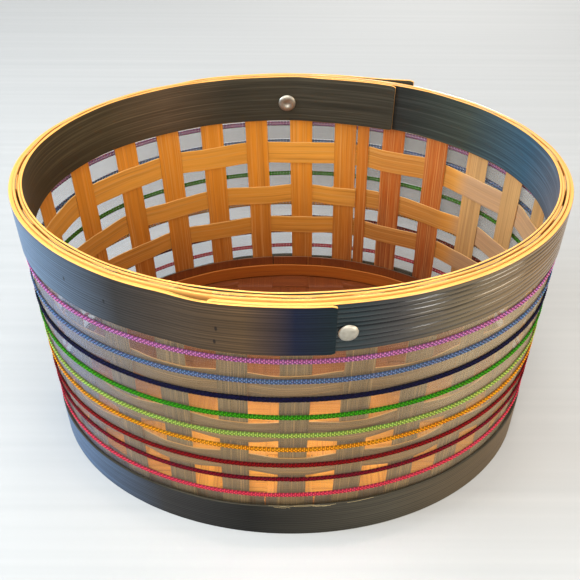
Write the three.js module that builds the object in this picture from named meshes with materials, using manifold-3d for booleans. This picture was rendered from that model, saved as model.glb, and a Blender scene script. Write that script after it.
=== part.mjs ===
import * as THREE from 'three';
import { mergeVertices } from 'three/addons/utils/BufferGeometryUtils.js';
import Module from 'manifold-3d';

// An oval woven splint basket, in millimetres, +Z up, standing on the ground with its axis on Z.
// Angles are in degrees round the oval, from the front (-Y) towards +X.

// Girth, outside the bands, and how much further out the rim stands than the foot
const RIM_HALF_WIDTH = 140;
const RIM_HALF_DEPTH = 108.8;
const RIM_FLARE = 2;

// Gap left between pieces that lie against each other
const CLEARANCE = 0.25;

// Rows of the wall, stacked from the ground up
const FOOT_BAND_HEIGHT = 24;
const LOWEST_OPENING = 22.6;
const LOWER_WEAVER_WIDTH = 12.9;
const LOWER_OPENING = 11.1;
const MIDDLE_WEAVER_WIDTH = 13.4;
const UPPER_OPENING = 17.3;
const UPPER_WEAVER_WIDTH = 14.9;
const TOP_OPENING = 16.4;
const INNER_BAND_HEIGHT = 29;

// Splints and bands
const STAKE_COUNT = 26;
const STAKE_WIDTH = 14;
const STAKE_THICKNESS = 0.8;
const STAKE_FOOT_LIFT = 1;
const STAKE_LEAN = 3.3;
const FIRST_STAKE_PLACE = 1.7;
const WIDE_GAP_FIRST = 17;
const WIDE_GAP_COUNT = 4;
const WIDE_GAP_EXTRA = 5;
const NARROW_STAKE_WIDTH = 7.2;
const NARROW_STAKE_SLIT = 0.8;
const NARROW_STAKE_ROOM = 2.5;
const LAP_STAKE = 12;
const WEAVER_THICKNESS = 0.7;
const RIM_WEAVER_WIDTH = 14;
const RIM_CORE_DROP = 0.6;
const INNER_BAND_THICKNESS = 1.2;
const OUTER_BAND_THICKNESS = 1.2;
const OUTER_BAND_DROP = 1.4;
const LEFT_BAND_HEIGHT = 27.3;
const RIGHT_BAND_HEIGHT = 26.6;
const FOOT_BAND_THICKNESS = 1.2;
const FOOT_HOOP_THICKNESS = 1.2;
const FOOT_HOOP_HEIGHT = 12;

// Where the bands begin, end and lap
const LEFT_BAND_START = -211;
const LEFT_BAND_END = 7.8;
const RIGHT_BAND_START = -14;
const RIGHT_BAND_END = 202;
const INNER_BAND_START = 152.4;
const INNER_BAND_LAP = 17.6;
const FOOT_BAND_START = 178;
const FOOT_BAND_LAP = 14;
const FOOT_HOOP_START = -8;
const FOOT_HOOP_LAP = 16;
const LAP_MARGIN = 0.8;
const LAP_RUN = 9;
const END_CLIP = 2.5;
const LOOSE_END_RUN = 26;
const LOOSE_END_OUT = 2.5;
const LOOSE_END_UP = 2;

// Netting and cords
const RIBBON_THICKNESS = 0.5;
const RIBBON_TUCK_FOOT = 12;
const RIBBON_TUCK_RIM = 18;
const CORD_WIDTH = 2.9;
const CORD_THICKNESS = 1;
const PURPLE_CORD_DROP = 6;
const BLUE_CORD_DROP = 12.5;
const NAVY_CORD_DROP = 11.6;
const GREEN_CORD_DROP = 12.1;
const LIME_CORD_DROP = 12.8;
const ORANGE_CORD_DROP = 10.2;
const DARK_RED_CORD_DROP = 11.8;
const MAROON_CORD_DROP = 11;
const PINK_CORD_DROP = 12.6;

// Woven floor
const FLOOR_LIFT = 8;
const FLOOR_THICKNESS = 2;
const FLOOR_UPTURN = 18;
const FLOOR_UPTURN_THICKNESS = 1;
const FLOOR_STRIP_WIDTH = 25;
const FLOOR_STRIPS_ACROSS = 11;
const FLOOR_STRIPS_DEEP = 9;
const FLOOR_STRIP_SEAM = 0.6;
const FLOOR_RELIEF = 0.5;

// Rivets
const RIVET_DROP = 15.7;
const RIVET_SETBACK = 1.1;
const BACK_RIVET_ANGLE = 181.2;
const RIVET_SHANK_RADIUS = 1.3;
const RIVET_HEAD_RADIUS = 4.4;
const RIVET_HEAD_EDGE = 0.5;
const RIVET_HEAD_DOME = 1.1;
const CLENCH_RADIUS = 5.2;
const CLENCH_HEIGHT = 1.2;
const CLENCH_DIMPLE_RADIUS = 2.6;
const CLENCH_DIMPLE_DEPTH = 0.7;

// Facets of the bent pieces and steps for measuring round the wall
const RING_SEGMENTS = 60;
const ARC_STEPS = 720;
const RIVET_SEGMENTS = 14;
const DOME_STEPS = 3;

// Each cord lies its drop below the one above it, the first below the right rim band's lower edge.
const CORDS = [
  { name: 'cord_purple', drop: PURPLE_CORD_DROP, color: 0xb46fc8 },
  { name: 'cord_blue', drop: BLUE_CORD_DROP, color: 0x5f86c8 },
  { name: 'cord_navy', drop: NAVY_CORD_DROP, color: 0x1b1f5a },
  { name: 'cord_green', drop: GREEN_CORD_DROP, color: 0x3d9a2a },
  { name: 'cord_lime', drop: LIME_CORD_DROP, color: 0xa6d25a },
  { name: 'cord_orange', drop: ORANGE_CORD_DROP, color: 0xe89a24 },
  { name: 'cord_dark_red', drop: DARK_RED_CORD_DROP, color: 0x7e0a14 },
  { name: 'cord_maroon', drop: MAROON_CORD_DROP, color: 0x6e1230 },
  { name: 'cord_pink', drop: PINK_CORD_DROP, color: 0xe0526e },
];

const FINISH = {
  stake: { color: 0xc98a3f, roughness: 0.55, metalness: 0 },
  weaver: { color: 0xbf8440, roughness: 0.55, metalness: 0 },
  rimCore: { color: 0xe5ad5f, roughness: 0.6, metalness: 0 },
  innerBand: { color: 0x4b473b, roughness: 0.45, metalness: 0 },
  leftBand: { color: 0x5f574c, roughness: 0.45, metalness: 0 },
  rightBand: { color: 0x696454, roughness: 0.4, metalness: 0 },
  footBand: { color: 0x4f4c45, roughness: 0.45, metalness: 0 },
  footHoop: { color: 0xb27a3a, roughness: 0.55, metalness: 0 },
  floor: { color: 0xa96d31, roughness: 0.6, metalness: 0 },
  netting: { color: 0xd9d2c6, roughness: 0.7, metalness: 0, transparent: true, opacity: 0.45 },
  rivet: { color: 0xb9b6ac, roughness: 0.35, metalness: 0.9 },
};

const wasm = await Module();
wasm.setup();

const radians = THREE.MathUtils.degToRad;
const degrees = THREE.MathUtils.radToDeg;

// Heights of the rows
const lowerWeaverLow = FOOT_BAND_HEIGHT + LOWEST_OPENING;
const middleWeaverLow = lowerWeaverLow + LOWER_WEAVER_WIDTH + LOWER_OPENING;
const upperWeaverLow = middleWeaverLow + MIDDLE_WEAVER_WIDTH + UPPER_OPENING;
const innerBandLow = upperWeaverLow + UPPER_WEAVER_WIDTH + TOP_OPENING;
const rimTop = innerBandLow + INNER_BAND_HEIGHT;
const coreTop = rimTop - RIM_CORE_DROP;
const outerBandTop = rimTop - OUTER_BAND_DROP;
const leftBandLow = outerBandTop - LEFT_BAND_HEIGHT;
const rightBandLow = outerBandTop - RIGHT_BAND_HEIGHT;
const ribbonLow = FOOT_BAND_HEIGHT - RIBBON_TUCK_FOOT;
const ribbonHigh = rightBandLow + RIBBON_TUCK_RIM;
const floorTop = FLOOR_LIFT + FLOOR_THICKNESS;
const footHoopLow = floorTop + CLEARANCE;

// Layers of the wall, as distances outwards (+) or inwards (-) from the middle of the stakes.
// Flat splints and flat facets stand off the oval, most at its ends, which the allowance makes room for.
const endRadius = RIM_HALF_DEPTH ** 2 / RIM_HALF_WIDTH - RIM_FLARE;
const facetAllowance =
  STAKE_WIDTH ** 2 / (8 * endRadius) + RIM_HALF_WIDTH * (1 - Math.cos(Math.PI / RING_SEGMENTS));
const stakeFace = STAKE_THICKNESS / 2;
const weaverNear = stakeFace + CLEARANCE;
const weaverFar = weaverNear + WEAVER_THICKNESS;
const ribbonNear = weaverFar + facetAllowance + CLEARANCE;
const ribbonFar = ribbonNear + RIBBON_THICKNESS;
const overRibbon = ribbonFar + CLEARANCE;
const outerBandFar = overRibbon + OUTER_BAND_THICKNESS;
const outerBandLapStep = OUTER_BAND_THICKNESS + CLEARANCE;
const innerBandNear = -(weaverFar + CLEARANCE);
const innerBandFar = innerBandNear - INNER_BAND_THICKNESS;
const innerBandLapStep = INNER_BAND_THICKNESS + CLEARANCE;
const footBandFar = overRibbon + FOOT_BAND_THICKNESS;
const upturnNear = -(stakeFace + CLEARANCE);
const upturnFar = upturnNear - FLOOR_UPTURN_THICKNESS;
const footHoopNear = upturnFar - CLEARANCE;
const footHoopFar = footHoopNear - FOOT_HOOP_THICKNESS;
const footHoopLapStep = FOOT_HOOP_THICKNESS + CLEARANCE;

// The wall follows an oval through the middle of the stakes, sloping inwards towards the foot.
const wallHalfWidth = RIM_HALF_WIDTH - outerBandFar;
const wallHalfDepth = RIM_HALF_DEPTH - outerBandFar;
const wallSlope = RIM_FLARE / outerBandTop;

function outward(angle) {
  const turn = radians(angle);
  return new THREE.Vector3(wallHalfDepth * Math.sin(turn), -wallHalfWidth * Math.cos(turn), 0).normalize();
}

function sideways(angle) {
  const { x, y } = outward(angle);
  return new THREE.Vector3(-y, x, 0);
}

function wallPoint(angle, offset, z) {
  const turn = radians(angle);
  return new THREE.Vector3(wallHalfWidth * Math.sin(turn), -wallHalfDepth * Math.cos(turn), z).addScaledVector(
    outward(angle),
    offset - wallSlope * (outerBandTop - z),
  );
}

// Distances round the wall at half its height, from the front, and the angles they reach
const middleHeight = coreTop / 2;
const arcDistances = [0];
for (let i = 1; i <= ARC_STEPS; i += 1) {
  const before = wallPoint((360 * (i - 1)) / ARC_STEPS, 0, middleHeight);
  arcDistances.push(arcDistances[i - 1] + before.distanceTo(wallPoint((360 * i) / ARC_STEPS, 0, middleHeight)));
}
const wallGirth = arcDistances[ARC_STEPS];

function angleAt(distance) {
  const turns = Math.floor(distance / wallGirth);
  const rest = distance - turns * wallGirth;
  const i = Math.min(arcDistances.findLastIndex((reached) => reached <= rest), ARC_STEPS - 1);
  const share = (rest - arcDistances[i]) / (arcDistances[i + 1] - arcDistances[i]);
  return 360 * turns + (360 * (i + share)) / ARC_STEPS;
}

// The angle that lies a distance further round than another
function stepAngle(angle, distance) {
  const middle = angle + degrees(distance / 2 / wallHalfWidth);
  const pace = Math.hypot(wallHalfWidth * Math.cos(radians(middle)), wallHalfDepth * Math.sin(radians(middle)));
  return angle + degrees(distance / pace);
}

// The four corners of a band's section at one station: near and far are distances from the wall's middle,
// along is how far the station lies sideways of its angle at half height, lean how much more per height.
function sectionCorners({ angle, along = 0, lean = 0, near, far, low, high }) {
  const corner = (offset, z) =>
    wallPoint(angle, offset, z).addScaledVector(sideways(angle), along + lean * (z - middleHeight));
  const inner = Math.min(near, far);
  const outer = Math.max(near, far);
  return [corner(inner, low), corner(outer, low), corner(outer, high), corner(inner, high)];
}

// A flat strip that runs through its stations, towards growing angles.
function stripGeometry(stations, closed = false) {
  const sections = stations.map(sectionCorners);
  const sides = 4;
  const position = sections.flat().flatMap((corner) => corner.toArray());
  const index = [];
  const lastSection = sections.length - 1;
  for (let s = 0; s < (closed ? sections.length : lastSection); s += 1) {
    const here = s * sides;
    const next = ((s + 1) % sections.length) * sides;
    for (let c = 0; c < sides; c += 1) {
      const d = (c + 1) % sides;
      index.push(here + c, next + c, next + d);
      index.push(here + c, next + d, here + d);
    }
  }
  if (!closed) {
    const end = lastSection * sides;
    index.push(0, 1, 2, 0, 2, 3);
    index.push(end, end + 2, end + 1, end, end + 3, end + 2);
  }
  const geometry = new THREE.BufferGeometry();
  geometry.setAttribute('position', new THREE.Float32BufferAttribute(position, 3));
  geometry.setIndex(index);
  return geometry;
}

function toSolid(geometry) {
  const bare = geometry.clone();
  bare.deleteAttribute('normal');
  bare.deleteAttribute('uv');
  const merged = mergeVertices(bare);
  return new wasm.Manifold(
    new wasm.Mesh({
      numProp: 3,
      vertProperties: new Float32Array(merged.attributes.position.array),
      triVerts: new Uint32Array(merged.index.array),
    }),
  );
}

function toGeometry(solid) {
  const { vertProperties, triVerts } = solid.getMesh();
  const geometry = new THREE.BufferGeometry();
  geometry.setAttribute('position', new THREE.BufferAttribute(vertProperties, 3));
  geometry.setIndex(new THREE.BufferAttribute(triVerts, 1));
  return geometry;
}

const basket = new THREE.Group();

function addPiece(name, geometry, finish) {
  geometry.computeVertexNormals();
  const mesh = new THREE.Mesh(geometry, new THREE.MeshStandardMaterial(finish));
  mesh.name = name;
  basket.add(mesh);
  return mesh;
}

// Angles of the facets' corners between two ends, with the ends and any extra angles among them
function facetAngles(start, end, extra = []) {
  const step = 360 / RING_SEGMENTS;
  const angles = [start, end, ...extra.filter((angle) => angle > start && angle < end)];
  for (let i = Math.ceil(start / step); i * step < end; i += 1) {
    angles.push(i * step);
  }
  angles.sort((a, b) => a - b);
  const leastStep = step / 20;
  return angles.filter((angle, i) => i === 0 || angle - angles[i - 1] > leastStep || angle === end);
}

const ringAngles = Array.from({ length: RING_SEGMENTS }, (_, i) => (360 * i) / RING_SEGMENTS);

function closedRing(near, far, low, high) {
  return stripGeometry(
    ringAngles.map((angle) => ({ angle, near, far, low, high })),
    true,
  );
}

// 0 before the ramp, 1 after it
const ramp = (angle, start, end) => THREE.MathUtils.clamp((angle - start) / (end - start), 0, 1);

// A hoop bent from one strip, whose first end lies over its last end by the lap.
function lappedHoop({ start, lap, step, near, far, low, high }) {
  const liftEnd = start + lap + LAP_MARGIN;
  const lift = (angle) => step * (1 - ramp(angle, liftEnd, liftEnd + LAP_RUN));
  const angles = facetAngles(start, start + 360 + lap, [liftEnd, liftEnd + LAP_RUN]);
  return stripGeometry(
    angles.map((angle) => ({ angle, near: near + lift(angle), far: far + lift(angle), low, high })),
  );
}

// Upright stakes, evenly spaced but for the wider gaps on the left and the room for the narrow stake,
// all leaning a little to the same side
const evenGirth = wallGirth - WIDE_GAP_COUNT * WIDE_GAP_EXTRA - NARROW_STAKE_ROOM;
const stakePitch = evenGirth / STAKE_COUNT;
function stakePlace(k) {
  const wideGaps = THREE.MathUtils.clamp(k - WIDE_GAP_FIRST, 0, WIDE_GAP_COUNT);
  const narrowRoom = k < LAP_STAKE ? 0 : NARROW_STAKE_ROOM;
  return FIRST_STAKE_PLACE + k * stakePitch + wideGaps * WIDE_GAP_EXTRA + narrowRoom;
}
const stakeAngle = (k) => angleAt(stakePlace(k));
const narrowStakeSpacing = STAKE_WIDTH / 2 + NARROW_STAKE_SLIT + NARROW_STAKE_WIDTH / 2;
const narrowStakeAngle = angleAt(stakePlace(LAP_STAKE) - narrowStakeSpacing);
const stakeLean = STAKE_LEAN / coreTop;

function stakeGeometry(angle, width) {
  const reach = { near: -stakeFace, far: stakeFace, low: STAKE_FOOT_LIFT, high: coreTop };
  const section = { angle, lean: stakeLean, ...reach };
  return stripGeometry([
    { ...section, along: -width / 2 },
    { ...section, along: width / 2 },
  ]);
}

// Woven hoops. Each starts on the lap stake, goes once round over and under the stakes in turn, passes outside
// the narrow stake, and ends behind the lap stake where its start lies on that stake's inside.
function weaverCrossings(row) {
  const side = (k) => ((k + row) % 2 === 0 ? -1 : 1);
  const crossings = [];
  for (let i = 0; i < STAKE_COUNT; i += 1) {
    const k = (LAP_STAKE + i) % STAKE_COUNT;
    crossings.push({ angle: stakeAngle(k), width: STAKE_WIDTH, side: side(k) });
  }
  crossings.push({ angle: narrowStakeAngle, width: NARROW_STAKE_WIDTH, side: 1 });
  if (side(LAP_STAKE) < 0) {
    crossings.push({ angle: stakeAngle(LAP_STAKE), width: STAKE_WIDTH, side: 1 });
  }
  return crossings;
}

function weaverGeometry(row, low, width) {
  const stations = weaverCrossings(row).flatMap((crossing) =>
    [-1, 1].map((end) => ({
      angle: crossing.angle,
      along: (end * crossing.width) / 2,
      lean: stakeLean,
      near: crossing.side * weaverNear,
      far: crossing.side * weaverFar,
      low,
      high: low + width,
    })),
  );
  return stripGeometry(stations);
}

// Outer rim bands: the left one is raised onto the right one at the front and back laps, and its loose end at
// the back springs outwards and upwards.
const leftFrontLap = RIGHT_BAND_START - LAP_MARGIN;
const leftBackLap = RIGHT_BAND_END - 360 + LAP_MARGIN;
function leftBandLift(angle) {
  const frontRise = ramp(angle, leftFrontLap - LAP_RUN, leftFrontLap);
  const backFall = ramp(angle, leftBackLap, leftBackLap + LAP_RUN);
  return outerBandLapStep * Math.max(frontRise, 1 - backFall);
}

function leftBandGeometry() {
  const clipStart = stepAngle(LEFT_BAND_START, END_CLIP);
  const clipEnd = stepAngle(LEFT_BAND_END, -END_CLIP);
  const rampEnds = [leftFrontLap - LAP_RUN, leftFrontLap, leftBackLap, leftBackLap + LAP_RUN];
  const angles = facetAngles(LEFT_BAND_START, LEFT_BAND_END, [clipStart, clipEnd, ...rampEnds]);
  return stripGeometry(
    angles.map((angle) => {
      const spring = (1 - ramp(angle, LEFT_BAND_START, LEFT_BAND_START + LOOSE_END_RUN)) ** 2;
      const lift = leftBandLift(angle) + LOOSE_END_OUT * spring;
      const rise = LOOSE_END_UP * spring;
      const clip = angle < clipStart || angle > clipEnd ? END_CLIP : 0;
      return {
        angle,
        near: overRibbon + lift,
        far: outerBandFar + lift,
        low: leftBandLow + rise + clip,
        high: outerBandTop + rise - clip,
      };
    }),
  );
}

function rightBandGeometry() {
  const section = { near: overRibbon, far: outerBandFar, low: rightBandLow, high: outerBandTop };
  return stripGeometry(facetAngles(RIGHT_BAND_START, RIGHT_BAND_END).map((angle) => ({ ...section, angle })));
}

// Rivets through the rim, square to the sloping wall
const wallTilt = Math.atan(wallSlope);
const rivetHeight = outerBandTop - RIVET_DROP;
const rivetSeat = CLEARANCE + CLENCH_RADIUS * Math.tan(Math.PI / RING_SEGMENTS);
const RIVETS = [
  {
    name: 'front_rivet',
    angle: stepAngle(LEFT_BAND_END, RIVET_HEAD_RADIUS + RIVET_SETBACK),
    outerFace: outerBandFar,
  },
  { name: 'back_rivet', angle: BACK_RIVET_ANGLE, outerFace: outerBandFar + outerBandLapStep },
];

function placeOnWall(object, angle) {
  const axis = outward(angle).multiplyScalar(Math.cos(wallTilt)).setZ(-Math.sin(wallTilt));
  object.quaternion.setFromUnitVectors(new THREE.Vector3(0, 1, 0), axis);
  object.position.copy(wallPoint(angle, 0, rivetHeight));
  return object;
}

function rivetGeometry(outerFace) {
  const headSeat = outerFace * Math.cos(wallTilt) + rivetSeat;
  const clenchSeat = innerBandFar * Math.cos(wallTilt) - rivetSeat;
  const clenchEnd = clenchSeat - CLENCH_HEIGHT;
  const profile = [
    [0, clenchEnd + CLENCH_DIMPLE_DEPTH],
    [CLENCH_DIMPLE_RADIUS, clenchEnd],
    [CLENCH_RADIUS - CLENCH_HEIGHT / 2, clenchEnd],
    [CLENCH_RADIUS, clenchEnd + CLENCH_HEIGHT / 2],
    [CLENCH_RADIUS, clenchSeat],
    [RIVET_SHANK_RADIUS, clenchSeat],
    [RIVET_SHANK_RADIUS, headSeat],
    [RIVET_HEAD_RADIUS, headSeat],
  ];
  for (let i = 0; i <= DOME_STEPS; i += 1) {
    const turn = (Math.PI / 2) * (i / DOME_STEPS);
    const radius = i === DOME_STEPS ? 0 : RIVET_HEAD_RADIUS * Math.cos(turn);
    profile.push([radius, headSeat + RIVET_HEAD_EDGE + RIVET_HEAD_DOME * Math.sin(turn)]);
  }
  return new THREE.LatheGeometry(
    profile.map(([radius, height]) => new THREE.Vector2(radius, height)),
    RIVET_SEGMENTS,
  );
}

// The rim's layers are drilled together for both rivets.
const boreLength = 2 * (outerBandFar + outerBandLapStep - innerBandFar);
const rivetBores = RIVETS.map(({ angle }) => {
  const radius = RIVET_SHANK_RADIUS + CLEARANCE;
  const drill = placeOnWall(
    new THREE.Mesh(new THREE.CylinderGeometry(radius, radius, boreLength, RIVET_SEGMENTS)),
    angle,
  );
  drill.updateMatrix();
  return toSolid(drill.geometry.applyMatrix4(drill.matrix));
});

function drilled(geometry) {
  return toGeometry(rivetBores.reduce((solid, bore) => solid.subtract(bore), toSolid(geometry)));
}

// A flat plate that reaches to an offset from the wall all round
function plateGeometry(offset, low, thickness) {
  const outline = ringAngles.map((angle) => {
    const { x, y } = wallPoint(angle, offset, low);
    return new THREE.Vector2(x, y);
  });
  const plate = new THREE.ExtrudeGeometry(new THREE.Shape(outline), { depth: thickness, bevelEnabled: false });
  return plate.translate(0, 0, low);
}

// Floor: a shallow woven tray whose splint ends turn up between the stakes and the foot hoop.
// Splints that run front to back lie on top in every other square, seen from above and from below.
function floorGeometry() {
  const plate = toSolid(plateGeometry(upturnNear, FLOOR_LIFT, FLOOR_THICKNESS));
  const upturn = toSolid(closedRing(upturnNear, upturnFar, FLOOR_LIFT, floorTop + FLOOR_UPTURN));

  const squareSide = FLOOR_STRIP_WIDTH - 2 * FLOOR_STRIP_SEAM;
  const squareHeight = FLOOR_RELIEF + FLOOR_THICKNESS / 4;
  const middleAcross = (FLOOR_STRIPS_ACROSS - 1) / 2;
  const middleDeep = (FLOOR_STRIPS_DEEP - 1) / 2;
  const squares = [];
  for (let i = 0; i < FLOOR_STRIPS_ACROSS; i += 1) {
    for (let j = 0; j < FLOOR_STRIPS_DEEP; j += 1) {
      const onTop = (i + j) % 2 === 0;
      const z = onTop ? floorTop + FLOOR_RELIEF - squareHeight / 2 : FLOOR_LIFT - FLOOR_RELIEF + squareHeight / 2;
      const square = new THREE.BoxGeometry(squareSide, squareSide, squareHeight);
      square.translate((i - middleAcross) * FLOOR_STRIP_WIDTH, (j - middleDeep) * FLOOR_STRIP_WIDTH, z);
      squares.push(toSolid(square));
    }
  }
  const woven = squares.reduce((joined, square) => joined.add(square));
  const trimLow = FLOOR_LIFT - 2 * FLOOR_RELIEF;
  const trim = plateGeometry(
    footHoopFar - footHoopLapStep - CLEARANCE,
    trimLow,
    floorTop + 2 * FLOOR_RELIEF - trimLow,
  );
  return toGeometry(plate.add(upturn).add(woven.intersect(toSolid(trim))));
}

for (let k = 0; k < STAKE_COUNT; k += 1) {
  const name = `stake_${String(k + 1).padStart(2, '0')}`;
  addPiece(name, drilled(stakeGeometry(stakeAngle(k), STAKE_WIDTH)), FINISH.stake);
}
addPiece('narrow_stake', drilled(stakeGeometry(narrowStakeAngle, NARROW_STAKE_WIDTH)), FINISH.stake);

const rimWeaver = weaverGeometry(0, coreTop - RIM_WEAVER_WIDTH, RIM_WEAVER_WIDTH);
addPiece('rim_weaver', drilled(rimWeaver), FINISH.rimCore);
addPiece('upper_weaver', weaverGeometry(1, upperWeaverLow, UPPER_WEAVER_WIDTH), FINISH.weaver);
addPiece('middle_weaver', weaverGeometry(2, middleWeaverLow, MIDDLE_WEAVER_WIDTH), FINISH.weaver);
addPiece('lower_weaver', weaverGeometry(3, lowerWeaverLow, LOWER_WEAVER_WIDTH), FINISH.weaver);

const innerBand = lappedHoop({
  start: INNER_BAND_START,
  lap: INNER_BAND_LAP,
  step: -innerBandLapStep,
  near: innerBandNear,
  far: innerBandFar,
  low: innerBandLow,
  high: rimTop,
});
addPiece('rim_band_inner', drilled(innerBand), FINISH.innerBand);
addPiece('rim_band_left', drilled(leftBandGeometry()), FINISH.leftBand);
addPiece('rim_band_right', drilled(rightBandGeometry()), FINISH.rightBand);

const footBand = lappedHoop({
  start: FOOT_BAND_START,
  lap: FOOT_BAND_LAP,
  step: FOOT_BAND_THICKNESS + CLEARANCE,
  near: overRibbon,
  far: footBandFar,
  low: 0,
  high: FOOT_BAND_HEIGHT,
});
addPiece('foot_band', footBand, FINISH.footBand);

const footHoop = lappedHoop({
  start: FOOT_HOOP_START,
  lap: FOOT_HOOP_LAP,
  step: -footHoopLapStep,
  near: footHoopNear,
  far: footHoopFar,
  low: footHoopLow,
  high: footHoopLow + FOOT_HOOP_HEIGHT,
});
addPiece('foot_hoop', footHoop, FINISH.footHoop);
addPiece('woven_floor', floorGeometry(), FINISH.floor);

addPiece('netting', drilled(closedRing(ribbonNear, ribbonFar, ribbonLow, ribbonHigh)), FINISH.netting);
let cordHeight = rightBandLow;
for (const { name, drop, color } of CORDS) {
  cordHeight -= drop;
  const cord = closedRing(
    overRibbon,
    overRibbon + CORD_THICKNESS,
    cordHeight - CORD_WIDTH / 2,
    cordHeight + CORD_WIDTH / 2,
  );
  addPiece(name, cord, { color, roughness: 0.75, metalness: 0 });
}

for (const { name, angle, outerFace } of RIVETS) {
  placeOnWall(addPiece(name, rivetGeometry(outerFace), FINISH.rivet), angle);
}

export default basket;
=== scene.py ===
"""An oval basket of woven splints with stained bands, a net wrap and coloured cords, in metres."""

import logging
import math
from dataclasses import dataclass
from enum import Enum
from functools import partialmethod

import bpy
import numpy as np
from mathutils import Euler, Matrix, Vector


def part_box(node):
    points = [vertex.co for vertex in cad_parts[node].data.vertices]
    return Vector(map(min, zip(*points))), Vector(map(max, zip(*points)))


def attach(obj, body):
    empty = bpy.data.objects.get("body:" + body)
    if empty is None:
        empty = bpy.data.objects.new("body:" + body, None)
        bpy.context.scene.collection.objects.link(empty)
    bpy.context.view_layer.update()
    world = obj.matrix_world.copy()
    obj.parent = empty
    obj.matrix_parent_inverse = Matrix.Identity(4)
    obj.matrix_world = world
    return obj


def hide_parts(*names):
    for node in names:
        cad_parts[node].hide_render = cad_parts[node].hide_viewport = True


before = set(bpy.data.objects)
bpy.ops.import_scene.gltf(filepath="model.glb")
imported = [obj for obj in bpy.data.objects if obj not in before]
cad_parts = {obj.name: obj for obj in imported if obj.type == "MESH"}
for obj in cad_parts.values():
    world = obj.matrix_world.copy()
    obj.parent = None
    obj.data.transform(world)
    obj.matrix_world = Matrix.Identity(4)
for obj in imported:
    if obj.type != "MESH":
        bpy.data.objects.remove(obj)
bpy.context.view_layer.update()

Colour = tuple[float, float, float, float]
Place = tuple[float, float, float]
Span = tuple[float, float]
Numbers = np.ndarray | float
Stops = tuple[tuple[float, Colour], ...]
Inputs = dict[str | int, object]
Materials = dict[str, bpy.types.Material]

LOG = logging.getLogger("basket")
BODY = "root"
MM = 0.001
FULL_TURN = 2 * math.pi
WHITE = (1.0, 1.0, 1.0, 1.0)

# What a mesh carries: the map of its fibres, its skin values and the numbers of its copies
GRAIN = "grain"
SKIN = "skin"
COPY = "copy"
# How much less skin a groove has than the rib beside it
GROOVE_SKIN = 0.2

# Width of the wall's oval for a depth of 1
OVAL = 1.29
# Turns that the chart of the oval covers, and its steps
CHART_REACH = (-3 * math.pi, 4 * math.pi)
CHART_STEPS = 5041
# Ends of the bands, in degrees from the front towards +X
LEFT_ENDS = (-211.0, 7.8)
RIGHT_ENDS = (-14.0, 202.0)
INNER_ENDS = (152.4, 530.0)
FOOT_ENDS = (178.0, 552.0)
# Degrees between the end of a lap and the ramp onto it, and along that ramp
LAP_MARGIN = 0.8
LAP_RUN = 9.0
# Degrees between two stations of a band
BAND_STEP = 0.8
# Knots of the left band, along it from the front and up from its middle
LEFT_BAND_KNOTS = (
    (-105 * MM, 1.5 * MM), (-82 * MM, -0.5 * MM), (-30 * MM, 0.5 * MM), (-31 * MM, -7 * MM),
)


def screen(red: int, green: int, blue: int) -> Colour:
    """Linear colour of an 8-bit screen colour."""
    shares = (red / 255, green / 255, blue / 255)
    return (*(s / 12.92 if s <= 0.04045 else ((s + 0.055) / 1.055) ** 2.4 for s in shares), 1.0)


class Value:
    """A node's output that takes part in Python arithmetic."""

    def __init__(self, book: "NodeBook", socket: bpy.types.NodeSocket) -> None:
        """Keeps the tree's book and the output."""
        self.book = book
        self.socket = socket

    def math(self, operation: str, *others: "Value | float") -> "Value":
        """Adds a Math node with this value first."""
        return self.book.math(operation, self, *others)

    def last(self, operation: str, first: float) -> "Value":
        """Adds a Math node with this value last."""
        return self.book.math(operation, first, self)

    __add__ = partialmethod(math, "ADD")
    __sub__ = partialmethod(math, "SUBTRACT")
    __mul__ = partialmethod(math, "MULTIPLY")
    __truediv__ = partialmethod(math, "DIVIDE")
    __pow__ = partialmethod(math, "POWER")
    __abs__ = partialmethod(math, "ABSOLUTE")
    __radd__ = partialmethod(last, "ADD")
    __rsub__ = partialmethod(last, "SUBTRACT")
    __rmul__ = partialmethod(last, "MULTIPLY")


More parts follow.
